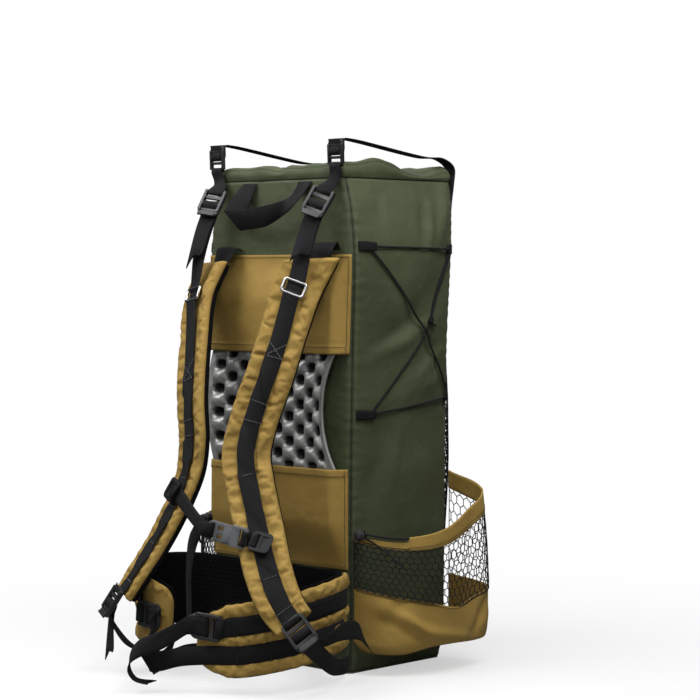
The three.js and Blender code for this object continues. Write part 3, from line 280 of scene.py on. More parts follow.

# %% [markdown]
# ## Finishes
# Every finish is a Principled shader: the fading group gives its colour, the thread and crease
# groups its bump. Colours are linear values. A mesh may carry a "seam" value on its points:
# painted shade that darkens cloth where it turns into a seam, and foam in its hollows.

# %% Finish table
MOULDED = {"crease": 1400, "crease_depth": 0.05}
THREAD = {"weave": 2500, "weave_depth": 0.1, "crease": 400, "crease_depth": 0.05}
FINISHES = {
    "olive_cloth": {
        "fresh": (0.060, 0.074, 0.034), "faded": (0.080, 0.096, 0.047), "rough": 0.55, "sheen": 0.04,
        "weave": 1500, "weave_depth": 0.10, "crease": 60, "crease_depth": 1.6,
    },
    "tan_cloth": {
        "fresh": (0.330, 0.207, 0.045), "faded": (0.405, 0.262, 0.064), "rough": 0.72, "sheen": 0.03,
        "weave": 1300, "weave_depth": 0.12, "crease": 80, "crease_depth": 1.2,
    },
    "spacer_mesh": {
        "fresh": (0.0025, 0.0025, 0.003), "faded": (0.005, 0.005, 0.0055), "rough": 0.9, "shine": 0.1,
        "weave": 300, "weave_depth": 0.8, "crease": 60, "crease_depth": 0.6,
    },
    "net_strand": {
        "fresh": (0.010, 0.010, 0.011), "faded": (0.018, 0.018, 0.019), "rough": 0.75,
        "weave": 1500, "weave_depth": 0.1, "crease": 200, "crease_depth": 0.1,
    },
    "cord_sheath": {
        "fresh": (0.010, 0.010, 0.011), "faded": (0.024, 0.024, 0.026), "rough": 0.6, "sheen": 0.02,
        "weave": 900, "weave_depth": 0.5, "crease": 200, "crease_depth": 0.1,
    },
    "black_webbing": {
        "fresh": (0.006, 0.006, 0.007), "faded": (0.010, 0.010, 0.0115), "rough": 0.74, "sheen": 0.01,
        "tape": (620, 330), "weave_depth": 0.35, "crease": 40, "crease_depth": 0.5, "shine": 0.22,
    },
    "moulded_black": {
        "fresh": (0.014, 0.014, 0.016), "faded": (0.026, 0.026, 0.029),
        "rough": 0.38, "shine": 0.5, **MOULDED,
    },
    "moulded_grey": {
        "fresh": (0.10, 0.105, 0.11), "faded": (0.16, 0.165, 0.17), "rough": 0.42, **MOULDED,
    },
    "moulded_matt": {
        "fresh": (0.008, 0.008, 0.009), "faded": (0.014, 0.014, 0.016),
        "rough": 0.55, "shine": 0.25, **MOULDED,
    },
    "bright_wire": {
        "fresh": (0.72, 0.72, 0.73), "faded": (0.55, 0.55, 0.56), "rough": 0.24, "metal": 1.0,
        "crease": 700, "crease_depth": 0.04,
    },
    "silver_foam": {
        "fresh": (0.46, 0.465, 0.45), "faded": (0.32, 0.325, 0.315), "rough": 0.40, "metal": 0.45,
        # the foam keeps this share of its colour under the painted shade of its hollows
        "crease": 200, "crease_depth": 0.35, "seam": 0.03,
    },
    "olive_thread": {"fresh": (0.020, 0.024, 0.014), "faded": (0.032, 0.036, 0.022), "rough": 0.6, **THREAD},
    "black_thread": {"fresh": (0.010, 0.009, 0.008), "faded": (0.030, 0.028, 0.026), "rough": 0.5, **THREAD},
    # black tack thread painted a lighter grey, as a painted highlight
    "grey_thread": {"fresh": (0.15, 0.15, 0.16), "faded": (0.26, 0.26, 0.27), "rough": 0.5, **THREAD},
}
FADE_PER_METRE = 9
PAINTED_SEAM_SHADE = 0.32  # how much of its colour cloth keeps under the painted shade of a seam
SHEEN_ROUGH = 0.4
PLAIN_SHINE = 0.3
GLOSS = (-0.05, 0.08)  # how roughness shifts from fresh to faded places
print("finish table:", len(FINISHES), "rows")


# %% Build the finishes
def add_bump(tree, height, depth, **before):
    inputs = {"Strength": 1, "Distance": depth * MM, "Height": height, **before}
    return add_node(tree, "ShaderNodeBump", inputs).outputs["Normal"]


def build_finish(name, look):
    made = bpy.data.materials.new(name)
    made.use_nodes = True
    tree = made.node_tree
    place = add_node(tree, "ShaderNodeTexCoord").outputs
    fading = add_node(tree, "ShaderNodeGroup", {
        "Vector": place["Object"], "Per metre": FADE_PER_METRE,
        "Fresh": (*look["fresh"], 1), "Faded": (*look["faded"], 1),
    }, node_tree=fade_group).outputs
    # the "seam" value is painted shade: cloth darkens in its seams, foam in its hollows
    seam = add_node(tree, "ShaderNodeAttribute", attribute_name="seam")
    kept = add_node(tree, "ShaderNodeMapRange", {
        "Value": seam.outputs["Fac"], "To Min": 1, "To Max": look.get("seam", PAINTED_SEAM_SHADE),
    })
    gloss = add_node(tree, "ShaderNodeMapRange", {
        "Value": fading["Mask"], "To Min": look["rough"] + GLOSS[0], "To Max": look["rough"] + GLOSS[1],
    })
    creased = add_node(
        tree, "ShaderNodeGroup", {"Vector": place["Object"], "Per metre": look["crease"]},
        node_tree=crease_group,
    )
    normal = add_bump(tree, creased.outputs["Height"], look["crease_depth"])
    threads = {}
    if "weave" in look:
        threads = {weave_group: {"Threads": look["weave"]}}
    if "tape" in look:
        threads = {tape_group: {"Ribs": look["tape"][0], "Chevrons": look["tape"][1]}}
    for group, counts in threads.items():
        woven = add_node(tree, "ShaderNodeGroup", {"Vector": place["UV"], **counts}, node_tree=group)
        normal = add_bump(tree, woven.outputs["Height"], look["weave_depth"], Normal=normal)
    shade = tree.nodes["Principled BSDF"]
    for label, value in {
        "Base Color": scaled_by(tree, fading["Color"], kept.outputs["Result"]),
        "Roughness": gloss.outputs["Result"],
        "Normal": normal,
        "Metallic": look.get("metal", 0),
        "Sheen Weight": look.get("sheen", 0),
        "Sheen Roughness": SHEEN_ROUGH,
        "Specular IOR Level": look.get("shine", PLAIN_SHINE),
    }.items():
        feed(tree, shade.inputs[label], value)
    return made


finish = {name: build_finish(name, look) for name, look in FINISHES.items()}
print("finishes:", len(finish))

# %% [markdown]
# ## Laying cloth
# A sewn panel is a flat cut that takes a curved place. So each sheet starts as a grid, whose
# points are moved on to a surface given by a formula, and Solidify then gives it a thickness.
# Tubes and paddings are closed skins through rings of points. Both keep a UV map in metres.

# %% Object helpers
def select_only(piece):
    bpy.ops.object.select_all(action="DESELECT")
    piece.select_set(True)
    bpy.context.view_layer.objects.active = piece


def link_piece(name, data):
    piece = bpy.data.objects.new(name, data)
    bpy.context.scene.collection.objects.link(piece)
    return piece


def mesh_piece(name, points, faces):
    """A piece from points in millimetres and faces, with a UV map still to fill."""
    mesh = bpy.data.meshes.new(name)
    mesh.from_pydata([point * MM for point in points], [], faces)
    mesh.uv_layers.new(name="UVMap")
    return link_piece(name, mesh)


def apply_modifier(piece, kind, **values):
    select_only(piece)
    modifier = piece.modifiers.new(kind.lower(), kind)
    for label, value in values.items():
        setattr(modifier, label, value)
    bpy.ops.object.modifier_apply(modifier=modifier.name)


def edit_all(piece, action, **values):
    """Runs an edit-mode operator on everything in a piece."""
    select_only(piece)
    bpy.ops.object.mode_set(mode="EDIT")
    bpy.ops.mesh.select_all(action="SELECT")
    action(**values)
    bpy.ops.object.mode_set(mode="OBJECT")


print("object helpers ready")


# %% Dress a piece
def dress(piece, look, slot, *nodes, sharp=None):
    """Gives a piece its finish and its place on the frame."""
    piece.data.materials.clear()
    piece.data.materials.append(finish[look])
    select_only(piece)
    if sharp:
        bpy.ops.object.shade_smooth_by_angle(angle=math.radians(sharp))
    else:
        bpy.ops.object.shade_smooth()
    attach(piece, BODY)
    if nodes:
        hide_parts(*nodes)


def finish_sheet(piece, thick, look, slot, node, flat, held, rests_on):
    """Gives a sheet its thickness and finish; its flat size and what holds it are not used."""
    apply_modifier(piece, "SOLIDIFY", thickness=thick * MM, offset=-1)
    dress(piece, look, slot, node)
    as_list(rests_on)
    print(piece.name, len(piece.data.polygons), "faces")


def finish_padding(piece, look, node):
    """Rounds a padded skin, and gives it its finish."""
    apply_modifier(piece, "SUBSURF", levels=1, render_levels=1)
    dress(piece, look, look, node)
    print(piece.name, len(piece.data.polygons), "faces")


print("pieces can be dressed in", len(finish), "finishes")


# %% Curves
def lerp(a, b, t):
    return a + (b - a) * t


def clamp(value, low=0.0, high=1.0):
    return min(max(value, low), high)


def smooth(t):
    t = clamp(t)
    return t * t * (3 - 2 * t)


def bell(t):
    """1 at 0, and less to both sides."""
    return math.exp(-(t**2))


def quarter_round(t):
    """Rises from 0 to 1 like a rounded edge."""
    return math.sqrt(1 - (1 - min(t, 1.0)) ** 2)


def hermite(a, b, slope_a, slope_b, t):
    square, cube = t * t, t * t * t
    lean = slope_a * (cube - 2 * square + t) + slope_b * (cube - square)
    return a * (2 * cube - 3 * square + 1) + b * (3 * square - 2 * cube) + lean


def run_lengths(points):
    """The way along a row of points, at each of them."""
    lengths = [0.0]
    for a, b in zip(points, points[1:]):
        lengths.append(lengths[-1] + (b - a).length)
    return lengths


print("curve helpers ready")


# %% Tables and crumple
def rows_of(columns, rows):
    return [dict(zip(columns, row)) for row in rows]


def row_at(table, column, value):
    """A table's row at a value of one column, on smooth curves through its rows."""
    last = len(table) - 1
    i = 0
    while i < last - 1 and table[i + 1][column] < value:
        i += 1
    a, b = table[i], table[i + 1]
    before, after = table[max(i - 1, 0)], table[min(i + 2, last)]
    span = b[column] - a[column]
    t = clamp((value - a[column]) / span)
    row = {}
    for label in a:
        slope_a = (b[label] - before[label]) / (b[column] - before[column]) * span
        slope_b = (after[label] - a[label]) / (after[column] - a[column]) * span
        row[label] = hermite(a[label], b[label], slope_a, slope_b, t)
    return row


def ripple(point, size, depth, seed):
    """A smooth random lift, in millimetres, for a point in millimetres."""
    return depth * noise.noise(point / size + Vector((seed, 2.7 * seed, -1.3 * seed)))


CRUMPLE = {  # waves in each kind of cloth: their size, their depth, and a seed to add
    "panel": [(70, 2.0, 0), (26, 0.9, 5)],
    "sleeve": [(60, 2.2, 0), (22, 0.7, 3)],
    "foot": [(45, 3.0, 21), (18, 0.8, 23)],
    "hem": [(16, 1.0, 25)],
    "front": [(60, 2.0, 31)],
}


def crumple(kind, point, seed=0):
    return sum(ripple(point, size, depth, seed + more) for size, depth, more in CRUMPLE[kind])


print("kinds of crumple:", len(CRUMPLE))


# %% Sheets and skins
def lay_sheet(name, surface, columns, rows, size, seam=None):
    """A grid whose points lie on surface(u, v), in millimetres, with u and v from 0 to 1."""
    bpy.ops.object.select_all(action="DESELECT")
    bpy.ops.mesh.primitive_grid_add(x_subdivisions=columns, y_subdivisions=rows, size=2)
    piece = bpy.context.object
    piece.name = name
    mesh = piece.data
    mesh.name = name
    places = [((point.co.x + 1) / 2, (point.co.y + 1) / 2) for point in mesh.vertices]
    for point, (u, v) in zip(mesh.vertices, places):
        point.co = surface(u, v) * MM
    # seam(u, v) gives painted shade, kept as the points' "seam" value
    if seam:
        layer = mesh.attributes.new("seam", "FLOAT", "POINT")
        layer.data.foreach_set("value", [seam(u, v) for u, v in places])
    for corner in mesh.uv_layers.active.data:
        corner.uv = corner.uv.x * size[0] * MM, corner.uv.y * size[1] * MM
    return piece


def lay_rings(name, rings):
    """A closed skin through rings of points in millimetres, capped at both ends."""
    count, last = len(rings[0]), len(rings) - 1
    faces = []
    uvs = []
    round_length = sum((a - b).length for a, b in zip(rings[0], rings[0][1:] + rings[0][:1]))
    lengths = run_lengths([sum(ring, Vector()) / count for ring in rings])
    for j in range(last):
        for i in range(count):
            k = (i + 1) % count
            faces.append((j * count + i, j * count + k, (j + 1) * count + k, (j + 1) * count + i))
            near, far = i / count * round_length, (i + 1) / count * round_length
            uvs += [(near, lengths[j]), (far, lengths[j]), (far, lengths[j + 1]), (near, lengths[j + 1])]
    faces.append(tuple(reversed(range(count))))
    faces.append(tuple(range(last * count, (last + 1) * count)))
    uvs += [(0, 0)] * (2 * count)
    piece = mesh_piece(name, [point for ring in rings for point in ring], faces)
    piece.data.uv_layers.active.data.foreach_set("uv", (np.array(uvs, np.float32) * MM).ravel())
    edit_all(piece, bpy.ops.mesh.normals_make_consistent, inside=False)
    return piece


print("sheets and skins ready")

# %% [markdown]
# ## The bag
# The bag is four coated-cloth panels sewn at upright corner seams, with a base and a rolled
# collar. A subdivided box would look inflated, so each panel is laid out by the same table of
# heights that the solid follows, with round corners, soft folds and puckers along its seams.

# %% Panel tables
BAG = rows_of(("z", "half", "back", "front", "swell_back", "swell_side", "swell_front"), [
    (0, 131, -100, 86, 0, 1, 2),
    (32, 137, -104, 90, 1, 5, 10),
    (150, 138, -105, 92, 2, 9, 18),
    (300, 139, -105, 92, 2, 12, 22),
    (450, 142, -105, 92, 2, 12, 22),
    (570, 145, -105, 97, 2, 10, 18),
    (635, 138, -105, 106, 1, 7, 12),
    (674, 128, -105, 112, 0, 3, 6),
])
RIM = 674
CLOTH = 1.2
CORNER = 9  # radius of the bag's upright corners
BASE_LIFT = 3.4  # where the panels start above the floor
FOLD_COLUMNS = ("y", "z", "lean", "reach", "spread", "depth")
SIDE_FOLDS = rows_of(FOLD_COLUMNS, [
    (78, 628, 62, 60, 14, 7),
    (20, 500, 35, 70, 20, -5),
    (40, 440, -55, 90, 18, -6),
    (55, 400, 20, 60, 16, 5),
    (44, 608, 75, 34, 7, 4),
    (30, 622, 80, 30, 8, -3),
    (-50, 640, 85, 26, 9, -3),
    (-20, 452, 22, 60, 12, 5),
    (-5, 470, 20, 55, 12, -4),
    (45, 420, 28, 40, 10, 5),
    (-60, 300, 75, 70, 14, -3),
    (-30, 290, 80, 70, 12, 3),
])
PANELS = {
    "back": {"facing": (0, -1, 0), "wide": 280, "node": "back_panel", "seed": 1},
    "left": {"facing": (1, 0, 0), "wide": 200, "node": "side_panel_left", "seed": 2},
    "front": {"facing": (0, 1, 0), "wide": 280, "node": "front_panel", "seed": 3},
    "right": {"facing": (-1, 0, 0), "wide": 200, "node": "side_panel_right", "seed": 4},
}
PANEL_GRID = {"column": 4, "rows": 170}  # width of a column, and how many rows
# the last value is how far the painted shade along each seam reaches
SEAM = {
    "sink": 1.3, "wide": 2.2, "pucker": 0.8, "pitch": 15, "fade": 10, "start": 3, "clear": 26, "dark": 1.8,
}
WANDER = {"size": 40, "turn": 4}  # how puckers drift out of step
print("panel tables:", len(BAG), "heights,", len(SIDE_FOLDS), "folds")


# %% Panel surfaces
def bag_point(panel, s, z, inset=0.0):
    """The bag's outside: s from -1 to 1 across a panel, round the outline seen from above."""
    row = row_at(BAG, "z", z)
    half, back, front = row["half"] - inset, row["back"] + inset, row["front"] - inset
    flat = (half if panel in ("back", "front") else (front - back) / 2) - CORNER
    along = abs(s) * (flat + CORNER * math.pi / 4)
    turned = max(0.0, along - flat) / CORNER
    across = math.copysign(min(along, flat) + CORNER * math.sin(turned), s)
    sink = CORNER * (1 - math.cos(turned))
    crown = 1 - s * s
    if panel == "back":
        return Vector((across, back + sink - row["swell_back"] * crown, z))
    if panel == "front":
        return Vector((-across, front - sink + row["swell_front"] * crown, z))
    x = half - sink + row["swell_side"] * crown
    middle = (front + back) / 2
    if panel == "left":
        return Vector((x, middle + across, z))
    return Vector((-x, middle - across, z))


def fold_lift(folds, y, z):
    lift = 0.0
    for fold in folds:
        lean = math.radians(fold["lean"])
        dy, dz = y - fold["y"], z - fold["z"]
        along = (dy * math.cos(lean) + dz * math.sin(lean)) / fold["reach"]
        off = (dz * math.cos(lean) - dy * math.sin(lean)) / fold["spread"]
        lift += fold["depth"] * math.exp(-along * along - off * off)
    return lift


def seam_edge(panel, s):
    return (1 - abs(s)) * PANELS[panel]["wide"] / 2


def panel_lift(panel, s, point):
    """How far cloth stands off the plain outline: folds, crumple, and puckers at the seams."""
    edge = seam_edge(panel, s)
    lift = crumple("panel", point, PANELS[panel]["seed"])
    if panel in SIDES:
        lift += fold_lift(SIDE_FOLDS, point.y, point.z)
    lift *= smooth(edge / SEAM["clear"])
    drift = WANDER["turn"] * noise.noise(point / WANDER["size"])
    wave = math.sin(2 * math.pi * point.z / SEAM["pitch"] + drift)
    lift += SEAM["pucker"] * wave * math.exp(-edge / SEAM["fade"]) * smooth(edge / SEAM["start"])
    return lift - SEAM["sink"] * bell(edge / SEAM["wide"])


def panel_surface(panel):
    facing = Vector(PANELS[panel]["facing"])

    def surface(u, v):
        s, z = 2 * u - 1, lerp(BASE_LIFT, RIM, v)
        point = bag_point(panel, s, z)
        return point + facing * panel_lift(panel, s, point)

    return surface


print("panel surfaces:", len(PANELS))

# %% Lay the panels
for panel, facts in PANELS.items():
    size = (facts["wide"], RIM - BASE_LIFT)
    columns = facts["wide"] // PANEL_GRID["column"]
    # painted shade along each upright seam, strongest at the seam itself
    piece = lay_sheet(
        panel + "_cloth", panel_surface(panel), columns, PANEL_GRID["rows"], size,
        lambda u, v, panel=panel: bell(seam_edge(panel, 2 * u - 1) / SEAM["dark"]),
    )
    finish_sheet(piece, CLOTH, "olive_cloth", "pack_cloth", facts["node"], size, "stretched", [facts["node"]])


# %% Block tools
UPRIGHT = 0.99  # the share of an edge's length that has to run along Z
SOFT_ANGLE = 35  # degrees; flatter edges stay sharp


def block(size, at, tilt=0.0):
    bpy.ops.object.select_all(action="DESELECT")
    bpy.ops.mesh.primitive_cube_add(
        size=1, location=Vector(at) * MM, scale=Vector(size) * MM, rotation=(math.radians(tilt), 0, 0)
    )
    piece = bpy.context.object
    bpy.ops.object.transform_apply(location=True, rotation=True, scale=True)
    return piece


def round_corners(piece, radius, segments=4):
    """Bevels the edges of a block that run along Z."""
    select_only(piece)
    bpy.ops.object.mode_set(mode="EDIT")
    bpy.ops.mesh.select_all(action="DESELECT")
    bpy.ops.object.mode_set(mode="OBJECT")
    for edge in piece.data.edges:
        run = piece.data.vertices[edge.vertices[0]].co - piece.data.vertices[edge.vertices[1]].co
        edge.select = abs(run.z) > UPRIGHT * run.length
    bpy.ops.object.mode_set(mode="EDIT")
    bpy.ops.mesh.bevel(offset=radius * MM, segments=segments)
    bpy.ops.object.mode_set(mode="OBJECT")
    return piece


def shape_by(piece, operation, *tools):
    for tool in tools:
        apply_modifier(piece, "BOOLEAN", operation=operation, object=tool, solver="EXACT")
        bpy.data.objects.remove(tool)


def soften(piece, width, segments=2):
    apply_modifier(
        piece, "BEVEL", width=width * MM, segments=segments, limit_method="ANGLE",
        angle_limit=math.radians(SOFT_ANGLE), use_clamp_overlap=True,
    )
    return piece


print("block tools ready")

# %% Base: a flat bottom with round corners
BASE_EDGE = 1  # width of its bevel

low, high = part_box("base_panel")
base = round_corners(block((high - low) / MM, (low + high) / 2 / MM), CORNER, 6)
base.name = "base_cloth"
apply_modifier(base, "BEVEL", width=BASE_EDGE * MM, segments=2, limit_method="ANGLE")
dress(base, "olive_cloth", "pack_cloth", "base_panel", sharp=40)
print("base:", len(base.data.polygons), "faces")

# %% [markdown]
# ## Collar
# The top edge of the bag is a drawn-in collar: a hem stands above the rim seam, rolls over and
# hangs inside the mouth. It is one sheet that runs round the outline, so its profile is a short
# table, and gathers lift or drop it where the cloth is drawn up.

# %% Collar
COLLAR = rows_of(("t", "inset", "rise"), [
    (0.0, 0.2, 0.4), (0.15, -1.5, 9), (0.3, 1.5, 17), (0.45, 9, 22), (0.6, 18, 17), (1.0, 23, -26),
])
ROLLED = 0.6  # from here on the hem hangs inside
ROUND_END = 3.9999  # just short of four panels, so that the last point is on the last one
FULL_RISE = 20  # the height where the gathers are full
GATHERS = rows_of(("panel", "s", "width", "lift"), [
    ("back", 0, 0.1, -5),
    ("left", -0.45, 0.3, 9),
    ("left", 0.5, 0.45, -11),
    ("right", -0.4, 0.4, 6),
    ("front", 0.3, 0.5, 4),
])
COLLAR_FLAT = (980, 80)  # length of its seam, and its width before it is rolled
COLLAR_GRID = (240, 30)  # columns and rows, as for every sheet
RUFFLE = {"out": (34, 2.6, 8), "fine": (12, 0.7, 9), "up": (28, 2.4, 7)}  # size, depth and seed


def collar_surface(u, v):
    turn = min(u * len(PANELS), ROUND_END)
    panel = list(PANELS)[int(turn)]
    s = 2 * (turn - int(turn)) - 1
    here = row_at(COLLAR, "t", v)
    point = bag_point(panel, s, RIM, here["inset"])
    free = smooth(here["rise"] / FULL_RISE) if v < ROLLED else 1.0
    drawn = [row for row in GATHERS if row["panel"] == panel]
    lift = sum(row["lift"] * bell((s - row["s"]) / row["width"]) for row in drawn)
    below = Vector((point.x, point.y, 0))
    stand = ripple(below, *RUFFLE["out"]) * free + ripple(point, *RUFFLE["fine"])
    point.z = RIM + here["rise"] + (lift + ripple(below, *RUFFLE["up"])) * free
    return point + Vector(PANELS[panel]["facing"]) * stand


collar = lay_sheet("collar_cloth", collar_surface, *COLLAR_GRID, COLLAR_FLAT)
finish_sheet(
    collar, CLOTH, "olive_cloth", "pack_cloth", "collar", COLLAR_FLAT, "gathered",
    ["front_panel", "back_panel"],
)

# %% [markdown]
# ## Pad sleeves and foam pad
# Two cloth sleeves on the back hold a sheet of egg-crate foam with a silvery skin. The sleeves
# are flat cuts that bulge over the pad and are sewn down on three sides. The foam is a dense
# grid moved by a product of two waves, which gives knobs and hollows in a chequered order.

# %% Sleeves
SLEEVES = {
    "upper": {"sewn": 571, "open": 436, "seed": 11, "facing": -1},  # laid downwards, so it is turned
    "lower": {"sewn": 143, "open": 280, "seed": 14, "facing": 1},
}
SLEEVE = {
    "seam": 3.2, "rise": 22, "full": 0.5, "calm": 0.25, "border": 0.14,
    "span": 0.985, "wide": 275, "allowance": 10,
}
SLEEVE_GRID = (90, 50)
HEM = {"deep": 12, "step": 2, "thick": 0.7, "sink": 0.6, "narrow": 1.6}


def sleeve_surface(facts):
    tall = abs(facts["open"] - facts["sewn"])

    def surface(u, v):
        c, z = 2 * u - 1, lerp(facts["sewn"], facts["open"], v)
        edge = smooth((1 - abs(c)) / SLEEVE["border"])
        stand = SLEEVE["seam"] + (SLEEVE["rise"] - SLEEVE["seam"]) * edge * smooth(v / SLEEVE["full"])
        point = bag_point("back", c * SLEEVE["span"], z)
        lip = (1 - v) * tall
        hem = HEM["thick"] * smooth((HEM["deep"] + HEM["step"] / 2 - lip) / HEM["step"])
        hem -= HEM["sink"] * bell((lip - HEM["deep"]) / HEM["narrow"])
        folds = crumple("sleeve", point, facts["seed"]) * edge * smooth(v / SLEEVE["calm"])
        point.y -= stand + (folds + hem) - CLOTH
        return point

    return surface


for end, facts in SLEEVES.items():
    surface = sleeve_surface(facts)
    shown = surface if facts["facing"] > 0 else lambda u, v, f=surface: f(1 - u, v)
    size = (SLEEVE["wide"], abs(facts["open"] - facts["sewn"]) + SLEEVE["allowance"])
    piece = lay_sheet(end + "_sleeve_cloth", shown, *SLEEVE_GRID, size)
    finish_sheet(
        piece, CLOTH, "tan_cloth", "tan_cloth", end + "_pad_sleeve", size, "stretched", ["back_panel"],
    )

# %% Foam pad
PAD = {"half": 121, "low": 197, "high": 521.5, "standoff": 12, "bow": 6, "flat": 50, "thick": 3.5}
KNOB = {"across": 22.5, "up": 17, "height": 6, "hollow": 9.5, "pressed": 0.35}  # pressed under a sleeve
SINK = {"start": 0.08, "over": 0.55}  # how a hollow deepens with the wave
HOLLOW_SHADE_RAMP = {"start": 0.14, "over": 0.26}  # and how the painted shade in it deepens
MARGIN = {"left": 2, "right": 9, "fade": 9, "draw_in": 19, "let_out": 7}  # the pad's plain border
BACK_HALF = 145  # half the width of the back panel's flat
PAD_GRID = (150, 200)


def pad_wave(x, z):
    """From -1 in a hollow to 1 on a knob, in a chequered order."""
    return math.sin(math.pi * x / KNOB["across"]) * math.sin(math.pi * z / KNOB["up"])


def pad_parts(u, v):
    """A place on the pad: x, z, the share that shows between the sleeves, and the wave."""
    z = lerp(PAD["low"], PAD["high"], v)
    middle = (SLEEVES["upper"]["open"] + SLEEVES["lower"]["open"]) / 2
    window = (SLEEVES["upper"]["open"] - SLEEVES["lower"]["open"]) / 2
    free = max(0.0, 1 - min(1.0, abs(z - middle) / window) ** 2)
    side = 2 * u - 1
    edge = (1 - abs(side)) * PAD["half"] - MARGIN["right" if side > 0 else "left"]
    drawn = MARGIN["draw_in"] * max(0.0, side) ** 3 - MARGIN["let_out"] * max(0.0, -side) ** 3
    x = side * (PAD["half"] - drawn * free)
    return x, z, free, pad_wave(side * PAD["half"], z) * smooth(edge / MARGIN["fade"])


def pad_surface(u, v):
    x, z, free, wave = pad_parts(u, v)
    knob = KNOB["height"] * (1 - (1 - wave) ** 2)
    if wave <= 0:
        knob = -KNOB["hollow"] * smooth((-SINK["start"] - wave) / SINK["over"])
    bow = PAD["bow"] * free * smooth((abs(x) - PAD["flat"]) / (PAD["half"] - PAD["flat"]))
    back = bag_point("back", x / BACK_HALF, z).y
    stand = PAD["standoff"] + knob * lerp(KNOB["pressed"], 1, math.sqrt(free)) + bow
    return Vector((x, back - stand - PAD["thick"] / 2, z))


# Painted shade in the foam's hollows, from 0 on a knob to 1 deep in a hollow
def painted_hollow_shade(u, v):
    return smooth((-HOLLOW_SHADE_RAMP["start"] - pad_parts(u, v)[3]) / HOLLOW_SHADE_RAMP["over"])


pad_size = (2 * PAD["half"], PAD["high"] - PAD["low"])
foam = lay_sheet("foam_pad", pad_surface, *PAD_GRID, pad_size, painted_hollow_shade)
apply_modifier(foam, "SOLIDIFY", thickness=PAD["thick"] * MM, offset=-1)
dress(foam, "silver_foam", "foam", "back_pad")
print("foam pad:", len(foam.data.polygons), "faces")

# %% [markdown]
# ## Pockets and nets
# Each side pocket has a boxed cloth foot, a net wall and a slanting hem. The net is knitted in
# six-sided cells. Modelling every strand by hand would be slow, so flat hexagons are laid over
# the pocket's surface, and the Wireframe modifier turns their edges into strands.

# %% Pocket surface
POCKET_PLAN = [(-100, 0), (-78, 50), (-22, 76), (36, 80), (88, 78), (97, 0)]  # y, out
POCKET_BULGE = rows_of(("rise", "share"), [
    (0, 0.0), (4, 0.72), (14, 0.94), (60, 1.0), (130, 0.96), (174, 0.9), (244, 0.78),
])
POCKET_EDGES = rows_of(("t", "floor", "foot", "net", "hem"), [
    (0, 46, 120, 184, 197),
    (0.14, 32, 113, 177, 192),
    (0.27, 24, 106, 173, 190),
    (0.4, 30, 97, 175, 195),
    (0.53, 31, 91, 185, 207),
    (0.68, 30, 104, 204, 229),
    (0.85, 32, 114, 226, 252),
    (1, 36, 120, 243, 266),
])
POCKET = {"stand": 2.2, "seam": 0.25, "sewn": 0.06, "limit": 0.98, "round": 330, "net": 84}


def pocket_plan(t):
    """The pocket seen from above: the place along the panel, and how far it stands out."""
    last = len(POCKET_PLAN) - 1
    i = min(int(t * last), last - 1)
    near = [POCKET_PLAN[clamp(i + step, 0, last)] for step in (-1, 0, 1, 2)]
    before, a, b, after = [Vector(p) for p in near]
    return hermite(a, b, (b - before) / 2, (after - a) / 2, t * last - i)


def pocket_point(t, z):
    y, out = pocket_plan(t)
    share = row_at(POCKET_BULGE, "rise", z - row_at(POCKET_EDGES, "t", t)["floor"])["share"]
    row = row_at(BAG, "z", z)
    s = clamp(2 * (y - row["back"]) / (row["front"] - row["back"]) - 1, -POCKET["limit"], POCKET["limit"])
    stand = POCKET["stand"] * lerp(POCKET["seam"], 1, smooth(min(t, 1 - t) / POCKET["sewn"]))
    return Vector((bag_point("left", s, z).x + stand + max(0.0, out * share), y, z))


def pocket_band(low, high, sign, lift=None):
    """The pocket between two edges, on the left or mirrored to the right."""

    def surface(u, v):
        t = u if sign > 0 else 1 - u
        z = lerp(low(t), high(t), v)
        point = pocket_point(t, z)
        if lift:
            point.x += lift(t, v, point)
        point.x *= sign
        return point

    return surface


def pocket_edge(column, up=0.0):
    return lambda t: row_at(POCKET_EDGES, "t", t)[column] + up


def inside(t, border):
    return smooth(t / border) * smooth((1 - t) / border)


print("pocket tables:", len(POCKET_PLAN), "corners,", len(POCKET_EDGES), "rows")

# %% Pocket feet and hems
FOOT_FOLDS = rows_of(FOLD_COLUMNS, [
    (-52, 66, -38, 55, 9, 9),
    (-40, 52, -30, 60, 8, -8),
    (10, 50, -12, 60, 9, 6),
    (-80, 80, 70, 40, 8, -6),
    (66, 76, 60, 34, 8, -6),
])
FOOT = {"border": 0.12, "lip_sink": 0.8, "lip": 0.045, "calm": 0.2, "shown": 95, "cut": 130}
FOOT_GRID = (100, 40)
DRAWN = (0.05, 0.27)  # the stretch of the hem where its cord runs outside it
CHANNEL = {  # the hem is thinner where it is drawn
    "thin": 7, "border": 0.05, "stand": 0.6, "full": 1.2, "step": 0.012, "swell": 0.01, "cut": 20,
}
SIDE_HEM_GRID = (190, 8)


def foot_lift(t, v, point):
    lip = -FOOT["lip_sink"] * bell((1 - v) / FOOT["lip"])
    folds = fold_lift(FOOT_FOLDS, point.y, point.z) + crumple("foot", point)
    return folds * inside(t, FOOT["border"]) * smooth(v / FOOT["calm"]) + lip


def hem_top(t):
    """The hem's upper edge, with a step where the cord leaves its channel."""
    drawn = smooth((DRAWN[1] + CHANNEL["step"] / 2 - t) / CHANNEL["step"])
    return pocket_edge("hem")(t) - CHANNEL["thin"] * drawn


def hem_lift(t, v, point):
    full = CHANNEL["stand"] + CHANNEL["full"] * smooth((t - DRAWN[1]) / CHANNEL["swell"])
    return (full + crumple("hem", point)) * inside(t, CHANNEL["border"])


def foot_band(sign):
    return pocket_band(pocket_edge("floor"), pocket_edge("foot"), sign, foot_lift)


def hem_band(sign):
    return pocket_band(pocket_edge("net", -1), hem_top, sign, hem_lift)


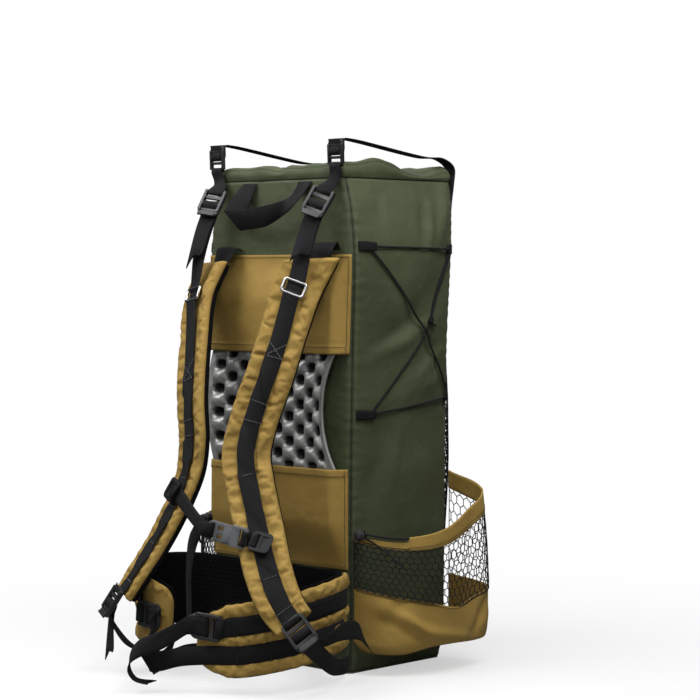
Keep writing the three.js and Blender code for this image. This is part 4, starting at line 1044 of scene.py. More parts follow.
for side, sign in SIDES.items():
    tan, wall = ("tan_cloth", "tan_cloth"), ["side_panel_" + side]
    shown, flat = (POCKET["round"], FOOT["shown"]), (POCKET["round"], FOOT["cut"])
    foot = lay_sheet("pocket_foot_" + side, foot_band(sign), *FOOT_GRID, shown)
    finish_sheet(foot, CLOTH, *tan, "side_pocket_base_" + side, flat, "gathered", wall)
    flat = (POCKET["round"], CHANNEL["cut"])
    hem = lay_sheet("pocket_hem_" + side, hem_band(sign), *SIDE_HEM_GRID, flat)
    finish_sheet(hem, 2 * CLOTH, *tan, "side_pocket_hem_" + side, flat, "gathered", wall)


# %% Nets
NET = {"cell": 10.5, "strand": 1.7, "digits": 4}  # digits that tell corners apart


def lay_net(name, surface, width, height):
    """Six-sided cells over a surface of about that width and height, as strands."""
    side = NET["cell"] / math.sqrt(3)
    columns, rows = round(width / NET["cell"]), round(height / (1.5 * side))
    corners = {}
    points = []
    faces = []
    for j in range(rows + 1):
        for i in range(columns + 1):
            centre = (i + (0.5 if j % 2 else 0.0), j * 1.5)
            face = []
            for k in range(6):
                a = math.radians(60 * k + 30)
                across = (centre[0] + math.cos(a) / math.sqrt(3)) / columns
                up = (centre[1] + math.sin(a)) / (1.5 * rows)
                place = (clamp(round(across, NET["digits"])), clamp(round(up, NET["digits"])))
                if place not in corners:
                    corners[place] = len(points)
                    points.append(surface(*place))
                if corners[place] not in face:
                    face.append(corners[place])
            if len(face) > 2:
                faces.append(face)
    piece = mesh_piece(name, points, faces)
    apply_modifier(
        piece, "WIREFRAME", thickness=NET["strand"] * MM, use_replace=True, use_boundary=True,
        use_even_offset=False,
    )
    return piece


for side, sign in SIDES.items():
    wall = pocket_band(pocket_edge("foot", -1), pocket_edge("net", 1), sign)
    net = lay_net("pocket_net_" + side, wall, POCKET["round"], POCKET["net"])
    dress(net, "net_strand", "net", "side_pocket_net_" + side)
print("pocket net:", len(net.data.polygons), "faces")

# %% Front pocket
FRONT_POCKET = {"low": 70, "net": 440, "hem": 462, "span": 0.9, "depth": 58, "wide": 300}
BELLY = {"start": 0.06, "over": 0.8, "fullness": 0.6}  # the part of a half wave that it follows
FRONT_HEM_GRID = (90, 8)


def front_point(s, z):
    t = (z - FRONT_POCKET["low"]) / (FRONT_POCKET["hem"] - FRONT_POCKET["low"])
    wave = math.sin(math.pi * clamp(BELLY["start"] + BELLY["over"] * t))
    belly = wave ** BELLY["fullness"] * (1 - s**4)
    point = bag_point("front", s * FRONT_POCKET["span"], z)
    point.y += POCKET["stand"] + FRONT_POCKET["depth"] * belly
    return point


def front_band(low, high, depth):
    def surface(u, v):
        s = 2 * u - 1
        point = front_point(s, lerp(low, high, v))
        point.y += depth * (1 - abs(s) ** 8) + crumple("front", point) * (1 - s**4)
        return point

    return surface


net_height = FRONT_POCKET["net"] - FRONT_POCKET["low"]
net_wall = front_band(FRONT_POCKET["low"], FRONT_POCKET["net"], 0)
front_net = lay_net("front_net", net_wall, FRONT_POCKET["wide"], net_height)
dress(front_net, "net_strand", "net", "front_pocket_net")
print("front net:", len(front_net.data.polygons), "faces")
front_rim = front_band(FRONT_POCKET["net"] - 1, FRONT_POCKET["hem"], 1)
flat = (FRONT_POCKET["wide"], FRONT_POCKET["hem"] - FRONT_POCKET["net"])
front_hem = lay_sheet("front_hem", front_rim, *FRONT_HEM_GRID, flat)
finish_sheet(
    front_hem, 2 * CLOTH, "tan_cloth", "tan_cloth", "front_pocket_hem", flat, "stretched", ["front_panel"]
)

# %% [markdown]
# ## Padded straps and belt
# The shoulder straps and the hip wings are foam in a cloth cover, with webbing sewn along them.
# The webbing pulls the cover down and the foam swells beside it. A cloth simulation gives that
# look: the cover starts thin, is held where it is sewn, and is blown up a little from inside.

# %% Tracks
STRAP_COLUMNS = ("x", "y", "z", "turn", "width")
STRAPS = {
    "left": rows_of(STRAP_COLUMNS, [
        (100, -140, 566, 20, 74), (85, -154, 524, 24, 72), (78, -174, 465, 26, 68),
        (72, -193, 409, 28, 68), (60, -211, 349, 28, 68), (58, -223, 302, 28, 68),
        (74, -231, 263, 28, 67), (106, -244, 205, 30, 66), (146, -266, 156, 32, 64),
        (181, -278, 120, 30, 60), (204, -274, 96, 30, 54),
    ]),
    "right": rows_of(STRAP_COLUMNS, [
        (-93, -140, 562, -18, 74), (-98, -165, 512, -17, 72), (-78, -195, 439, -14, 68),
        (-61, -215, 371, -14, 68), (-50, -222, 317, -14, 68), (-49, -228, 277, -17, 68),
        (-52, -240, 244, -20, 67), (-60, -254, 211, -20, 66), (-73, -272, 171, -20, 64),
        (-86, -296, 130, -20, 60), (-96, -307, 106, -20, 54),
    ]),
}
BELT = rows_of(("x", "y", "z", "width"), [
    (-28, -276, 82, 70), (-62, -281, 85, 94), (-108, -262, 88, 98), (-150, -220, 92, 100),
    (-168, -172, 95, 102), (-146, -132, 94, 102), (-92, -109.6, 91, 100), (0, -108, 91, 100),
    (92, -109.6, 91, 100), (146, -132, 95, 102), (172, -172, 94, 102), (172, -222, 86, 101),
    (152, -268, 77, 100), (112, -306, 69, 98), (74, -325, 72, 60),
])
GLANCE = 0.02  # rows ahead and behind, to find which way a track runs


def curve_point(points, k):
    """A centripetal Catmull-Rom curve through points, at row k."""
    last = len(points) - 1
    i = min(max(int(k), 0), last - 1)
    a, b = points[i], points[i + 1]
    before = points[i - 1] if i else 2 * a - b
    after = points[i + 2] if i + 2 <= last else 2 * b - a
    gap0, gap1, gap2 = [max((q - p).length, 1e-6) ** 0.5 for p, q in ((before, a), (a, b), (b, after))]
    lean_a = (a - before) / gap0 - (b - before) / (gap0 + gap1) + (b - a) / gap1
    lean_b = (b - a) / gap1 - (after - a) / (gap1 + gap2) + (after - b) / gap2
    return hermite(a, b, lean_a * gap1, lean_b * gap1, k - i)


def make_track(table, across_of):
    """The middle line of a padded piece, with its directions and width at row k."""
    points = [Vector((row["x"], row["y"], row["z"])) for row in table]
    last = len(table) - 1

    def track(k):
        i = min(max(int(k), 0), last - 1)
        row = {label: lerp(table[i][label], table[i + 1][label], k - i) for label in table[i]}
        ahead, behind = curve_point(points, min(k + GLANCE, last)), curve_point(points, max(k - GLANCE, 0))
        along = (ahead - behind).normalized()
        across = across_of(row)
        across = (across - along * across.dot(along)).normalized()
        return {"at": curve_point(points, k), "along": along, "across": across,
                "out": along.cross(across), "width": row["width"]}

    return track


def strap_across(row):
    a = math.radians(row["turn"])
    return Vector((math.cos(a), math.sin(a), 0))


strap_tracks = {side: make_track(table, strap_across) for side, table in STRAPS.items()}
belt_track = make_track(BELT, lambda row: Vector((0, 0, -1)))
print("tracks:", len(strap_tracks) + 1)

# %% Section rings
FINE = 400  # places where a curve is measured
TOP_CUT = {"left": 0.5, "right": 0.0, "over": 1.1}  # how far each strap's top end lies askew


def even_rows(track, start, end, step):
    """Rows of a track, a step of millimetres apart."""
    fine = np.linspace(start, end, FINE)
    lengths = run_lengths([track(k)["at"] for k in fine])
    count = max(2, round(lengths[-1] / step))
    return [float(k) for k in np.interp(np.linspace(0, lengths[-1], count + 1), lengths, fine)]


def track_ring(place, section, slant=0.0):
    """A closed section, as (across, out) pairs in millimetres, square to the track or slanting."""
    way = place["across"] + place["along"] * slant
    return [place["at"] + way * a + place["out"] * h for a, h in section]


def top_slant(side, place, k):
    """How much a strap's section slants at row k, from its cut end to where it is square."""
    outer = math.copysign(1, place["across"].x * SIDES[side])
    return -outer * TOP_CUT[side] * smooth(1 - k / TOP_CUT["over"])


print("section rings ready")

# %% Cloth simulation
SWELL = {"pressure": 4.0, "slack": 0.07, "frames": 20, "cap": 6.0, "bending": 0.05}


def plump(piece, held):
    """Blows a cover up between the points where it is sewn down."""
    before = np.array([point.co for point in piece.data.vertices])
    sewn = piece.vertex_groups.new(name="sewn")
    sewn.add(held, 1.0, "REPLACE")
    select_only(piece)
    cloth = piece.modifiers.new("swell", "CLOTH")
    cloth.settings.vertex_group_mass = "sewn"
    cloth.settings.use_pressure = True
    cloth.settings.uniform_pressure_force = SWELL["pressure"]
    cloth.settings.shrink_min = -SWELL["slack"]
    cloth.settings.effector_weights.gravity = 0
    cloth.settings.bending_stiffness = SWELL["bending"]
    cloth.point_cache.frame_end = SWELL["frames"]
    for number in range(1, SWELL["frames"] + 1):
        bpy.context.scene.frame_set(number)
    bpy.ops.object.modifier_apply(modifier=cloth.name)
    bpy.context.scene.frame_set(1)
    after = np.array([point.co for point in piece.data.vertices])
    move = after - before
    far = np.linalg.norm(move, axis=1, keepdims=True)
    cap = SWELL["cap"] * MM
    move *= np.where(far > 0, cap * np.tanh(far / cap) / np.maximum(far, 1e-9), 1)
    piece.data.vertices.foreach_set("co", (before + move).ravel())
    piece.data.update()
    piece.vertex_groups.clear()


print("frames of swelling:", SWELL["frames"])

# %% Puckers and creases
PUCKER = {"pitch": 19, "depth": 0.55, "reach": 7, "start": 3, "rise": 4, "drift": (35, 60)}
CREASE = {
    "tack": 2.6, "other": 0.7, "every": 16, "narrow": 1.9, "fade": 15, "edge": 4, "slant": 0.5, "lean": 1.6,
}
CHANCE = {"tack": (1, 0.5), "other": (1.7, 2.5), "lean": (2.3, 6.5)}  # pace and place in the noise
BRIM = {"share": 0.3, "away": 4.5, "wide": 2.4}  # cloth that rises beside a crease


def pucker(off, run, seed):
    """How cloth waves beside webbing, a distance off its edge and along its run."""
    along, beyond = PUCKER["drift"]
    beside = bell(max(0.0, off - PUCKER["start"]) / PUCKER["reach"])
    drift = WANDER["turn"] * noise.noise(Vector((run / along, seed, off / beyond)))
    wave = math.sin(2 * math.pi * run / PUCKER["pitch"] + drift)
    return PUCKER["depth"] * wave * beside * smooth(off / PUCKER["rise"])


def chance_of(kind, n, seed):
    pace, place = CHANCE[kind]
    return noise.noise(Vector((n * pace, seed, place)))


def crease_lines(tacks, length, seed):
    """Creases that start at the webbing: where along it, their slant and their depth."""
    lines = []
    for tack in tacks:
        lines.append((tack, CREASE["slant"] * chance_of("tack", tack, seed), CREASE["tack"]))
    for n in range(int(length / CREASE["every"])):
        chance = chance_of("other", n, seed)
        slant = CREASE["lean"] * chance_of("lean", n, seed)
        lines.append((CREASE["every"] * (n + 0.5 + chance), slant, CREASE["other"] * (0.5 + abs(chance))))
    return np.array(lines)


def crease_depth(off, run, lines):
    """How far cloth sinks into its creases at a place beside the webbing."""
    clear = max(0.0, off)
    away = run - lines[:, 0] - lines[:, 1] * clear
    brim = BRIM["share"] * np.exp(-(((np.abs(away) - BRIM["away"]) / BRIM["wide"]) ** 2))
    sink = np.exp(-((away / CREASE["narrow"]) ** 2)) - brim
    rise = smooth((off + CREASE["edge"]) / CREASE["edge"])
    return float(np.sum(lines[:, 2] * sink)) * math.exp(-clear / CREASE["fade"]) * rise


print("puckers every", PUCKER["pitch"], "mm")


# %% Covers
def lay_cover(name, sections, top, under_shares, node):
    """A cover through sections, swollen between its seams and pressed in along its creases.

    Each section has its place, half width and slant, the height of its underside, whether its
    end is sewn shut, and a function that gives a place across it: height, distance off the
    webbing, and how far it sinks.
    """
    rings = []
    held = []
    sinks = []
    for section in sections:
        place, half = section["place"], section["half"]
        outline = []
        for i in range(top + 1):
            across = lerp(-half, half, i / top)
            height, off, sink = section["at"](across)
            if off < 0 or i in (0, top) or section["shut"]:
                held.append(len(sinks))
            outline.append((across, height))
            sinks.append(place["out"] * sink)
        for share in under_shares:
            held.append(len(sinks))
            outline.append((lerp(half, -half, share), section["under"]))
            sinks.append(Vector())
        rings.append(track_ring(place, outline, section["slant"]))
    cover = lay_rings(name, rings)
    plump(cover, held)
    for point, sink in zip(cover.data.vertices, sinks):
        point.co -= sink * MM
    finish_padding(cover, "tan_cloth", node)


print("covers can be laid")

# %% Shoulder strap covers
CUSHION = {"edge": 1.8, "puff": 6.4, "middle": 3.6, "roll": 9, "web": 13.5, "under": -3.4, "step": 2.6}
CUSHION_FLANK = {"sink": 6, "rim": 4, "end": 0.4}  # slopes beside the webbing and at the rim
STRAP_TACKS = {"left": (2.6, 3.6, 4.05, 5.7, 6.9, 8.2, 9.3), "right": (2.6, 3.5, 3.9, 5.4, 6.6, 7.9, 9.2)}
END_RUN = 0.12  # rows over which a padded piece closes at its ends
COVER_SEED = {"strap": 3, "wing": 7}
COVER_POINTS = {"strap": 26, "wing": 40}  # spaces between the points across a cover's top


def cushion_height(across, half):
    """Height of a strap's cover: thin at the edges, plump beside the webbing, flat under it."""
    rise = quarter_round((half - abs(across)) / CUSHION["roll"])
    sink = smooth((CUSHION["web"] + CUSHION_FLANK["sink"] - abs(across)) / CUSHION_FLANK["sink"])
    return lerp(lerp(CUSHION["edge"], CUSHION["puff"], rise), CUSHION["middle"], sink)


def strap_sections(side):
    track = strap_tracks[side]
    last = len(STRAPS[side]) - 1
    rows = even_rows(track, 0, last, CUSHION["step"])
    runs = np.arange(len(rows)) * CUSHION["step"]
    tacks = np.interp(STRAP_TACKS[side], rows, runs)
    lines = {edge: crease_lines(tacks, runs[-1], COVER_SEED["strap"] * edge) for edge in (-1, 1)}
    for k, run in zip(rows, runs):
        place = track(k)
        half = place["width"] / 2
        end = smooth(min(k, last - k) / END_RUN)

        def at(across):
            off = abs(across) - CUSHION["web"]
            rim = smooth((half - abs(across)) / CUSHION_FLANK["rim"])
            seed = math.copysign(COVER_SEED["strap"], across)
            height = cushion_height(across, half) + pucker(off, run, seed) * rim
            height = CUSHION["under"] + (height - CUSHION["under"]) * lerp(CUSHION_FLANK["end"], 1, end)
            return height, off, crease_depth(off, run, lines[1 if across > 0 else -1]) * rim

        yield {"place": place, "half": half, "slant": top_slant(side, place, k), "at": at,
               "under": CUSHION["under"], "shut": end < 0.5}


for side in SIDES:
    below = [i / 9 for i in range(10)]
    sections = strap_sections(side)
    lay_cover("strap_cover_" + side, sections, COVER_POINTS["strap"], below, "shoulder_strap_" + side)

# %% Hip wings
WING_SPAN = {"left": (9, 14), "right": (0, 5)}
WING = {"edge": 2, "flat": 7.4, "puff": 9.6, "roll": 11, "band": 0.38, "web": 13, "under": 0.8, "step": 2.8}
WING_FLANK = {"sink": 4, "rim": 5, "end": 0.3, "edge": 8, "lift": 0.6, "wander": 20}
WING_TIP = {"run": 0.5, "share": 0.55}  # how the wing's far end is rounded
WING_TACKS = {"left": (10.3, 11.3, 12.1, 12.8), "right": (1.7, 2.6, 3.5, 4.2)}


def wing_height(across, half):
    """Height of a wing's cover: three rolls, between and beside two bands of webbing."""
    rise = quarter_round((half - abs(across)) / WING["roll"])
    off = abs(abs(across) - WING["band"] * half)
    sink = smooth((WING["web"] + WING_FLANK["sink"] - off) / WING_FLANK["sink"])
    banded = min(WING["flat"], WING["edge"] + WING_FLANK["edge"] * rise)
    return lerp(lerp(WING["edge"], WING["puff"], rise), banded, sink)


def wing_sections(side):
    start, end = WING_SPAN[side]
    tip = end if side == "left" else start
    rows = even_rows(belt_track, start, end, WING["step"])
    runs = np.arange(len(rows)) * WING["step"]
    lines = crease_lines(np.interp(WING_TACKS[side], rows, runs), runs[-1], COVER_SEED["wing"])
    for k, run in zip(rows, runs):
        place = belt_track(k)
        close = smooth(min(k - start, end - k) / END_RUN)
        half = place["width"] / 2 * lerp(WING_TIP["share"], 1, quarter_round(abs(k - tip) / WING_TIP["run"]))

        def at(across):
            off = abs(abs(across) - WING["band"] * half) - WING["web"]
            rim = smooth((half - abs(across)) / WING_FLANK["rim"])
            height = wing_height(across, half) + pucker(off, run, across / WING_FLANK["wander"]) * rim
            height = (height - WING["under"]) * lerp(WING_FLANK["end"], 1, close)
            return WING["under"] + WING_FLANK["lift"] + height, off, crease_depth(off, run, lines) * rim

        yield {"place": place, "half": half, "slant": 0.0, "at": at, "under": WING["under"],
               "shut": close < 0.5}


for side in SIDES:
    below = [i / 8 for i in range(1, 8)]
    lay_cover("wing_cover_" + side, wing_sections(side), COVER_POINTS["wing"], below, "hip_wing_" + side)

# %% [markdown]
# ## Linings
# The sides that lie on the body are black spacer mesh over foam. Each lining is a skin with
# round edges that stands a hair wider than its cover, so that it shows as a dark edge.

# %% Linings
LINING = {
    "left": {"top": -2.6, "deep": 6.6, "wider": 0.4},
    "right": {"top": -2.6, "deep": 9.5, "wider": 0.8},
    "belt": {"top": 0.3, "deep": 5, "wider": 0.4},
}
LINING_RUN = {"ends": 0.02, "step": 8}
LINING_EDGE = {"upper": 1.6, "lower": 3, "shoulder": 1, "foot": 1.6}


def lining_section(width, top, deep, wider):
    half = width / 2 + wider
    upper, lower = half - LINING_EDGE["upper"], half - LINING_EDGE["lower"]
    shoulder, foot = top - LINING_EDGE["shoulder"], LINING_EDGE["foot"] - deep
    return [
        (-half, shoulder), *((lerp(-upper, upper, i / 6), top) for i in range(7)), (half, shoulder),
        (half, foot), *((lerp(lower, -lower, i / 6), -deep) for i in range(7)), (-half, foot),
    ]


def lay_lining(name, part, track, last, node):
    rings = []
    for k in even_rows(track, LINING_RUN["ends"], last - LINING_RUN["ends"], LINING_RUN["step"]):
        place = track(k)
        slant = top_slant(part, place, k) if part in SIDES else 0.0
        rings.append(track_ring(place, lining_section(place["width"], **LINING[part]), slant))
    finish_padding(lay_rings(name, rings), "spacer_mesh", node)


for side, track in strap_tracks.items():
    lay_lining("strap_back_" + side, side, track, len(STRAPS[side]) - 1, "strap_lining_" + side)
lay_lining("belt_back", "belt", belt_track, len(BELT) - 1, "hip_belt_lining")

# %% [markdown]
# ## Webbing
# Every strap of webbing already has its route in the frame, as a strip of flat facets. Drawing
# the routes a second time could drift away from the solids, so each strip is read back as two
# edges, the edges are smoothed, and a woven tape with round selvedges is laid between them.

# %% Read a strip
def solid_of(node):
    """A node's merged points in millimetres, and its triangles."""
    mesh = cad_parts[node].data
    numbers = {}
    points = []
    names = []
    for vertex in mesh.vertices:
        key = tuple(round(c / MM, 3) for c in vertex.co)
        if key not in numbers:
            numbers[key] = len(points)
            points.append(Vector(key))
        names.append(numbers[key])
    triangles = [tuple(names[i] for i in face.vertices) for face in mesh.polygons]
    return points, [t for t in triangles if len(set(t)) == 3]


def strip_layers(points, triangles):
    """The cross sections of a strip, in order, found by walking from one of its ends."""
    near = [set() for _ in points]
    shared = {}
    for triangle in triangles:
        for i in triangle:
            near[i].update(triangle)
        for i, j in zip(triangle, triangle[1:] + triangle[:1]):
            shared.setdefault(frozenset((i, j)), set()).update(triangle)
    for end in shared.values():
        layers = [end]
        seen = set(end)
        while len(layers[-1]) == 4:
            ahead = set().union(*(near[i] for i in layers[-1])) - seen
            if not ahead:
                break
            layers.append(ahead)
            seen |= ahead
        if len(seen) == len(points) and all(len(layer) == 4 for layer in layers):
            return layers
    raise ValueError("not a strip")


def strip_edges(node):
    """Both edges of a strip's middle plane, as two rows of points in step."""
    points, triangles = solid_of(node)
    rows = []
    for layer in strip_layers(points, triangles):
        a, b, c, d = [points[i] for i in sorted(layer)]
        pairs = min([((a, b), (c, d)), ((a, c), (b, d)), ((a, d), (b, c))],
                    key=lambda p: (p[0][0] - p[0][1]).length + (p[1][0] - p[1][1]).length)
        ends = [(p + q) / 2 for p, q in pairs]
        if rows:
            kept = sum((p - q).length for p, q in zip(ends, rows[-1]))
            crossed = sum((p - q).length for p, q in zip(reversed(ends), rows[-1]))
            ends = ends if kept <= crossed else ends[::-1]
        rows.append(ends)
    return [row[0] for row in rows], [row[1] for row in rows]


print("strips can be read")

# %% Tape tools
TAPE = {"thick": 1.5, "step": 4}
TAPE_SECTION = [  # across the tape, in half widths, and up, in half thicknesses
    (-1, 0), (-0.95, 1), (-0.5, 1), (0, 1), (0.5, 1), (0.95, 1), (1, 0), (0.95, -1), (0, -1), (-0.95, -1),
]
SLACK = {"rise": 2.4, "run": 20}  # how webbing stands off between its tacks


def tack_points(node):
    """Where a strap's webbing is sewn down, with the way outwards there."""
    kind, side = node.rsplit("_", 1)
    if kind != "strap_webbing":
        return []
    places = [strap_tracks[side](k) for k in STRAP_TACKS[side]]
    return [(place["at"] + place["out"] * CUSHION["middle"], place["out"]) for place in places]


def slack_at(point, tacks):
    """The way that webbing stands off at a point, none at a tack or past the last of them."""
    near = sorted(tacks, key=lambda tack: (tack[0] - point).length)[:2]
    between = (near[0][0] - point).dot(near[1][0] - point) < 0
    away = (near[0][0] - point).length
    return near[0][1] * SLACK["rise"] * smooth(away / SLACK["run"]) if between else Vector()


def lay_tape(name, first, second, tacks=()):
    """A woven tape between two edges, slack between its tacks."""
    middle = [(a + b) / 2 for a, b in zip(first, second)]
    places = []
    for i in range(len(middle) - 1):
        count = max(1, math.ceil((middle[i + 1] - middle[i]).length / TAPE["step"]))
        places += [i + n / count for n in range(count)]
    places.append(len(middle) - 1)
    ends = [(curve_point(first, k), curve_point(second, k)) for k in places]
    rings = []
    for j, (a, b) in enumerate(ends):
        ahead, behind = ends[min(j + 1, len(ends) - 1)], ends[max(j - 1, 0)]
        along = sum(ahead, Vector()) - sum(behind, Vector())
        flat = along.cross(b - a).normalized() * TAPE["thick"] / 2
        centre = (a + b) / 2 + (slack_at((a + b) / 2, tacks) if tacks else Vector())
        rings.append([centre + (b - a) / 2 * across + flat * up for across, up in TAPE_SECTION])
    return lay_rings(name, rings)


def narrowed(first, second, shares):
    """Draws two edges together."""
    last = len(first) - 1
    drawn = [(1 - lerp(*shares, n / last)) / 2 for n in range(last + 1)]
    near = [a.lerp(b, t) for a, b, t in zip(first, second, drawn)]
    return near, [b.lerp(a, t) for a, b, t in zip(first, second, drawn)]


print("points round a tape:", len(TAPE_SECTION))

# %% Lay the webbing
WEBBING = [
    "haul_loop",
    *(f"{name}_{side}" for side in SIDES for name in (
        "top_tab", "top_strap", "strap_webbing", "load_lifter", "strap_root", "lower_strap",
        "sternum_strap", "hip_band", "hip_strap",
    )),
]
NARROW = {"top_tab": (0.78, 1.0), "top_strap": (0.78, 0.78)}  # share of the width, at both ends

for node in WEBBING:
    edges = strip_edges(node)
    kind = node.rsplit("_", 1)[0]
    if kind in NARROW:
        edges = narrowed(*edges, NARROW[kind])
    tape = lay_tape(node + "_tape", *edges, tack_points(node))
    dress(tape, "black_webbing", "webbing", node)
print("webbing:", len(WEBBING), "lengths")

# %% [markdown]
# ## Buckles, locks and sliders
# The moulded pieces are ladder locks, sliders and side-release buckles. Each kind is modelled
# once, flat at the origin, from blocks that are cut, joined and bevelled, as a mould is made.
# Copies then take the seats of the plates in the frame, so that the webbing runs through them.

# %% Locks and sliders
SIZES = {"ladder": (34, 44), "wire": (37, 22), "chest": (29, 26), "sternum": (28, 54), "belt": (38, 58)}


def ladder_lock():
    """A plate with an anchor bar, a toothed gripping bar and a lifted thumb lip."""
    lock = round_corners(block((*SIZES["ladder"], 4), (0, 0, 0)), 8)
    rails = [round_corners(block((4.4, 34, 6.6), (x, 2, 0.7)), 1.5) for x in (-14.8, 14.8)]
    lip = round_corners(block((26, 9, 2.6), (0, -19.5, 2.4), -24), 3)
    shape_by(lock, "UNION", *rails, lip)
    shape_by(lock, "DIFFERENCE", *(block((26.4, 5.5, 20), (0, y, 0)) for y in (13, 2.5, -8.5)))
    shape_by(lock, "UNION", *(block((26.2, 0.9, 1.2), (0, y, 2.2)) for y in (-4.6, -3, -1.4)))
    return soften(lock, 0.6)


def wire_slider():
    """A bent wire oblong."""
    ring = round_corners(block((*SIZES["wire"], 3.6), (0, 0, 2.4)), 5.5, 6)
    shape_by(ring, "DIFFERENCE", round_corners(block((29.6, 14.6, 16), (0, 0, 0)), 2.4))
    return soften(ring, 1.5, 4)


def chest_slider():
    """A small frame that clips over the strap's webbing, with a slot for the chest strap."""
    plate = round_corners(block((*SIZES["chest"], 4), (0, 0, 0)), 5)
    rim = round_corners(block((31, 28, 2), (0, 0, 1.6)), 6)
    shape_by(plate, "UNION", rim)
    shape_by(plate, "DIFFERENCE", block((22, 5.5, 20), (0, 6, 0)), block((20, 8.5, 4), (0, -4.5, 3)))
    shape_by(plate, "UNION", *(block((3.5, 12, 2.4), (x, -4.5, -2.6)) for x in (-11, 11)))
    return soften(plate, 0.7)


print("plates:", len(SIZES), "sizes")

# %% Side-release buckles
THROUGH_ALL = 40  # height of a cutter that passes right through


def side_buckle(wide, tall, thick, slot, slot_at):
    """A fastened side-release buckle: a hollow body, and a plug with two sprung arms."""
    body = round_corners(block((wide, 0.6 * tall, thick), (0, -0.2 * tall, 0)), 5)
    bight = round_corners(block((wide - 11, 0.5 * tall, thick - 3.4), (0, 0.02 * tall, 0)), 3)
    windows = [
        round_corners(block((8, 0.2 * tall, THROUGH_ALL), (x, -0.02 * tall, 0)), 2)
        for x in (-wide / 2, wide / 2)
    ]
    shape_by(body, "DIFFERENCE", bight, *windows)
    plug = round_corners(block((wide - 1, 0.27 * tall, thick - 1), (0, 0.365 * tall, 0)), 5)
    arms = [
        round_corners(block((4.6, 0.44 * tall, thick - 3.6), (x, 0.09 * tall, 0)), 2)
        for x in (3.4 - wide / 2, wide / 2 - 3.4)
    ]
    guide = round_corners(block((6, 0.3 * tall, thick - 4), (0, 0.14 * tall, 0)), 2)
    shape_by(plug, "UNION", *arms, guide)
    for piece, end in ((body, -1), (plug, 1)):
        shape_by(piece, "DIFFERENCE", block((*slot, THROUGH_ALL), (0, end * slot_at, 0)))
        soften(piece, 0.8)
    select_only(body)
    plug.select_set(True)
    bpy.ops.object.join()
    return body


print("buckles can be made")


# %% Model each kind once
def shrunk(piece, share):
    piece.data.transform(Matrix.Scale(share, 4))
    return piece


sternum_buckle = side_buckle(*SIZES["sternum"], 8, (22, 5.5), 20)
belt_buckle = side_buckle(*SIZES["belt"], 10, (27.5, 6), 21.5)
KINDS = {
    "ladder": {"model": ladder_lock(), "size": SIZES["ladder"], "look": "moulded_black"},
    "small": {"model": shrunk(ladder_lock(), 0.8), "size": SIZES["ladder"], "look": "moulded_black"},
    "wire": {"model": wire_slider(), "size": SIZES["wire"], "look": "bright_wire"},
    "chest": {"model": chest_slider(), "size": SIZES["chest"], "look": "moulded_matt"},
    "sternum": {"model": sternum_buckle, "size": SIZES["sternum"], "look": "moulded_grey"},
    "belt": {"model": belt_buckle, "size": SIZES["belt"], "look": "moulded_black"},
}
for kind, facts in KINDS.items():
    print(kind, len(facts["model"].data.polygons), "faces")

# %% Find a seat
WAIST = Vector((0, -200, 0))  # the belt's hardware faces away from here, the rest from the bag
QUARTERS = 360  # quarter degrees in a right angle


def seat_of(node, size):
    """Where a plate lies: x across it, y towards the end with its anchor slot, z outwards."""
    points, triangles = solid_of(node)
    cloud = np.array(points)
    spans = [(points[b] - points[a]).cross(points[c] - points[a]) for a, b, c in triangles]
    facing = sum(np.outer(span, span) / max(span.length, 1e-9) for span in spans)
    up = Vector(np.linalg.eigh(facing)[1][:, -1])
    first = up.orthogonal().normalized()
    second = up.cross(first)

    def fit(angle):
        one = first * math.cos(angle) + second * math.sin(angle)
        two = up.cross(one)
        flat = np.stack([cloud @ np.array(one), cloud @ np.array(two)], 1)
        extent = np.ptp(flat, axis=0)
        return extent[0] * extent[1], one, two, extent

    _, one, two, extent = min((fit(math.radians(n / 4)) for n in range(QUARTERS)), key=lambda f: f[0])
    if abs(extent[0] - size[0]) > abs(extent[1] - size[0]):
        one, two = two, -one
    middle = Vector()
    for axis in (one, two, up):
        heights = cloud @ np.array(axis)
        middle += axis * (heights.min() + heights.max()) / 2
    if (Vector(cloud.mean(0)) - middle).dot(two) < 0:
        two = -two
    outside = middle - (WAIST if node.startswith(("hip", "belt")) else Vector())
    outside.z = 0
    if up.dot(outside) < 0:
        up = -up
    across = two.cross(up)
    turned = Matrix((across, two, up)).transposed().to_4x4()
    return Matrix.Translation(middle) @ turned


print("turns tried for a seat:", QUARTERS)

# %% Set the copies on their seats
SEATED = {
    "ladder": [f"{name}_{side}" for side in SIDES for name in (
        "lifter_buckle", "strap_buckle", "hip_ladder")],
    "small": ["top_buckle_left", "top_buckle_right"],
    "wire": ["strap_slider_left", "strap_slider_right"],
    "chest": ["sternum_slider_left", "sternum_slider_right"],
    "sternum": ["sternum_buckle"],
    "belt": ["belt_buckle"],
}

slider_seats = []
for kind, nodes in SEATED.items():
    for node in nodes:
        mesh = KINDS[kind]["model"].data.copy()
        seat = seat_of(node, KINDS[kind]["size"])
        mesh.transform(Matrix.Scale(MM, 4) @ seat @ Matrix.Scale(1 / MM, 4))
        if kind == "wire":
            slider_seats.append(seat)
        piece = link_piece(node + "_moulding", mesh)
        slot = "steel" if kind == "wire" else "buckle"
        dress(piece, KINDS[kind]["look"], slot, node, sharp=50)
    bpy.data.objects.remove(KINDS[kind]["model"])
print("hardware:", sum(len(nodes) for nodes in SEATED.values()), "pieces")

# %% Webbing through the wire sliders
THROUGH = {"half": 12.2, "rows": [(-11, -1.6), (-5, 0.1), (0, 0.7), (5, 0.1), (11, -1.6)]}  # along, out

for seat in slider_seats:
    edges = []
    for x in (-THROUGH["half"], THROUGH["half"]):
        edges.append([seat @ Vector((x, y, z)) for y, z in THROUGH["rows"]])
    turn = lay_tape("slider_turn", *edges)
    dress(turn, "black_webbing", "webbing")
print("turns of webbing:", len(slider_seats))

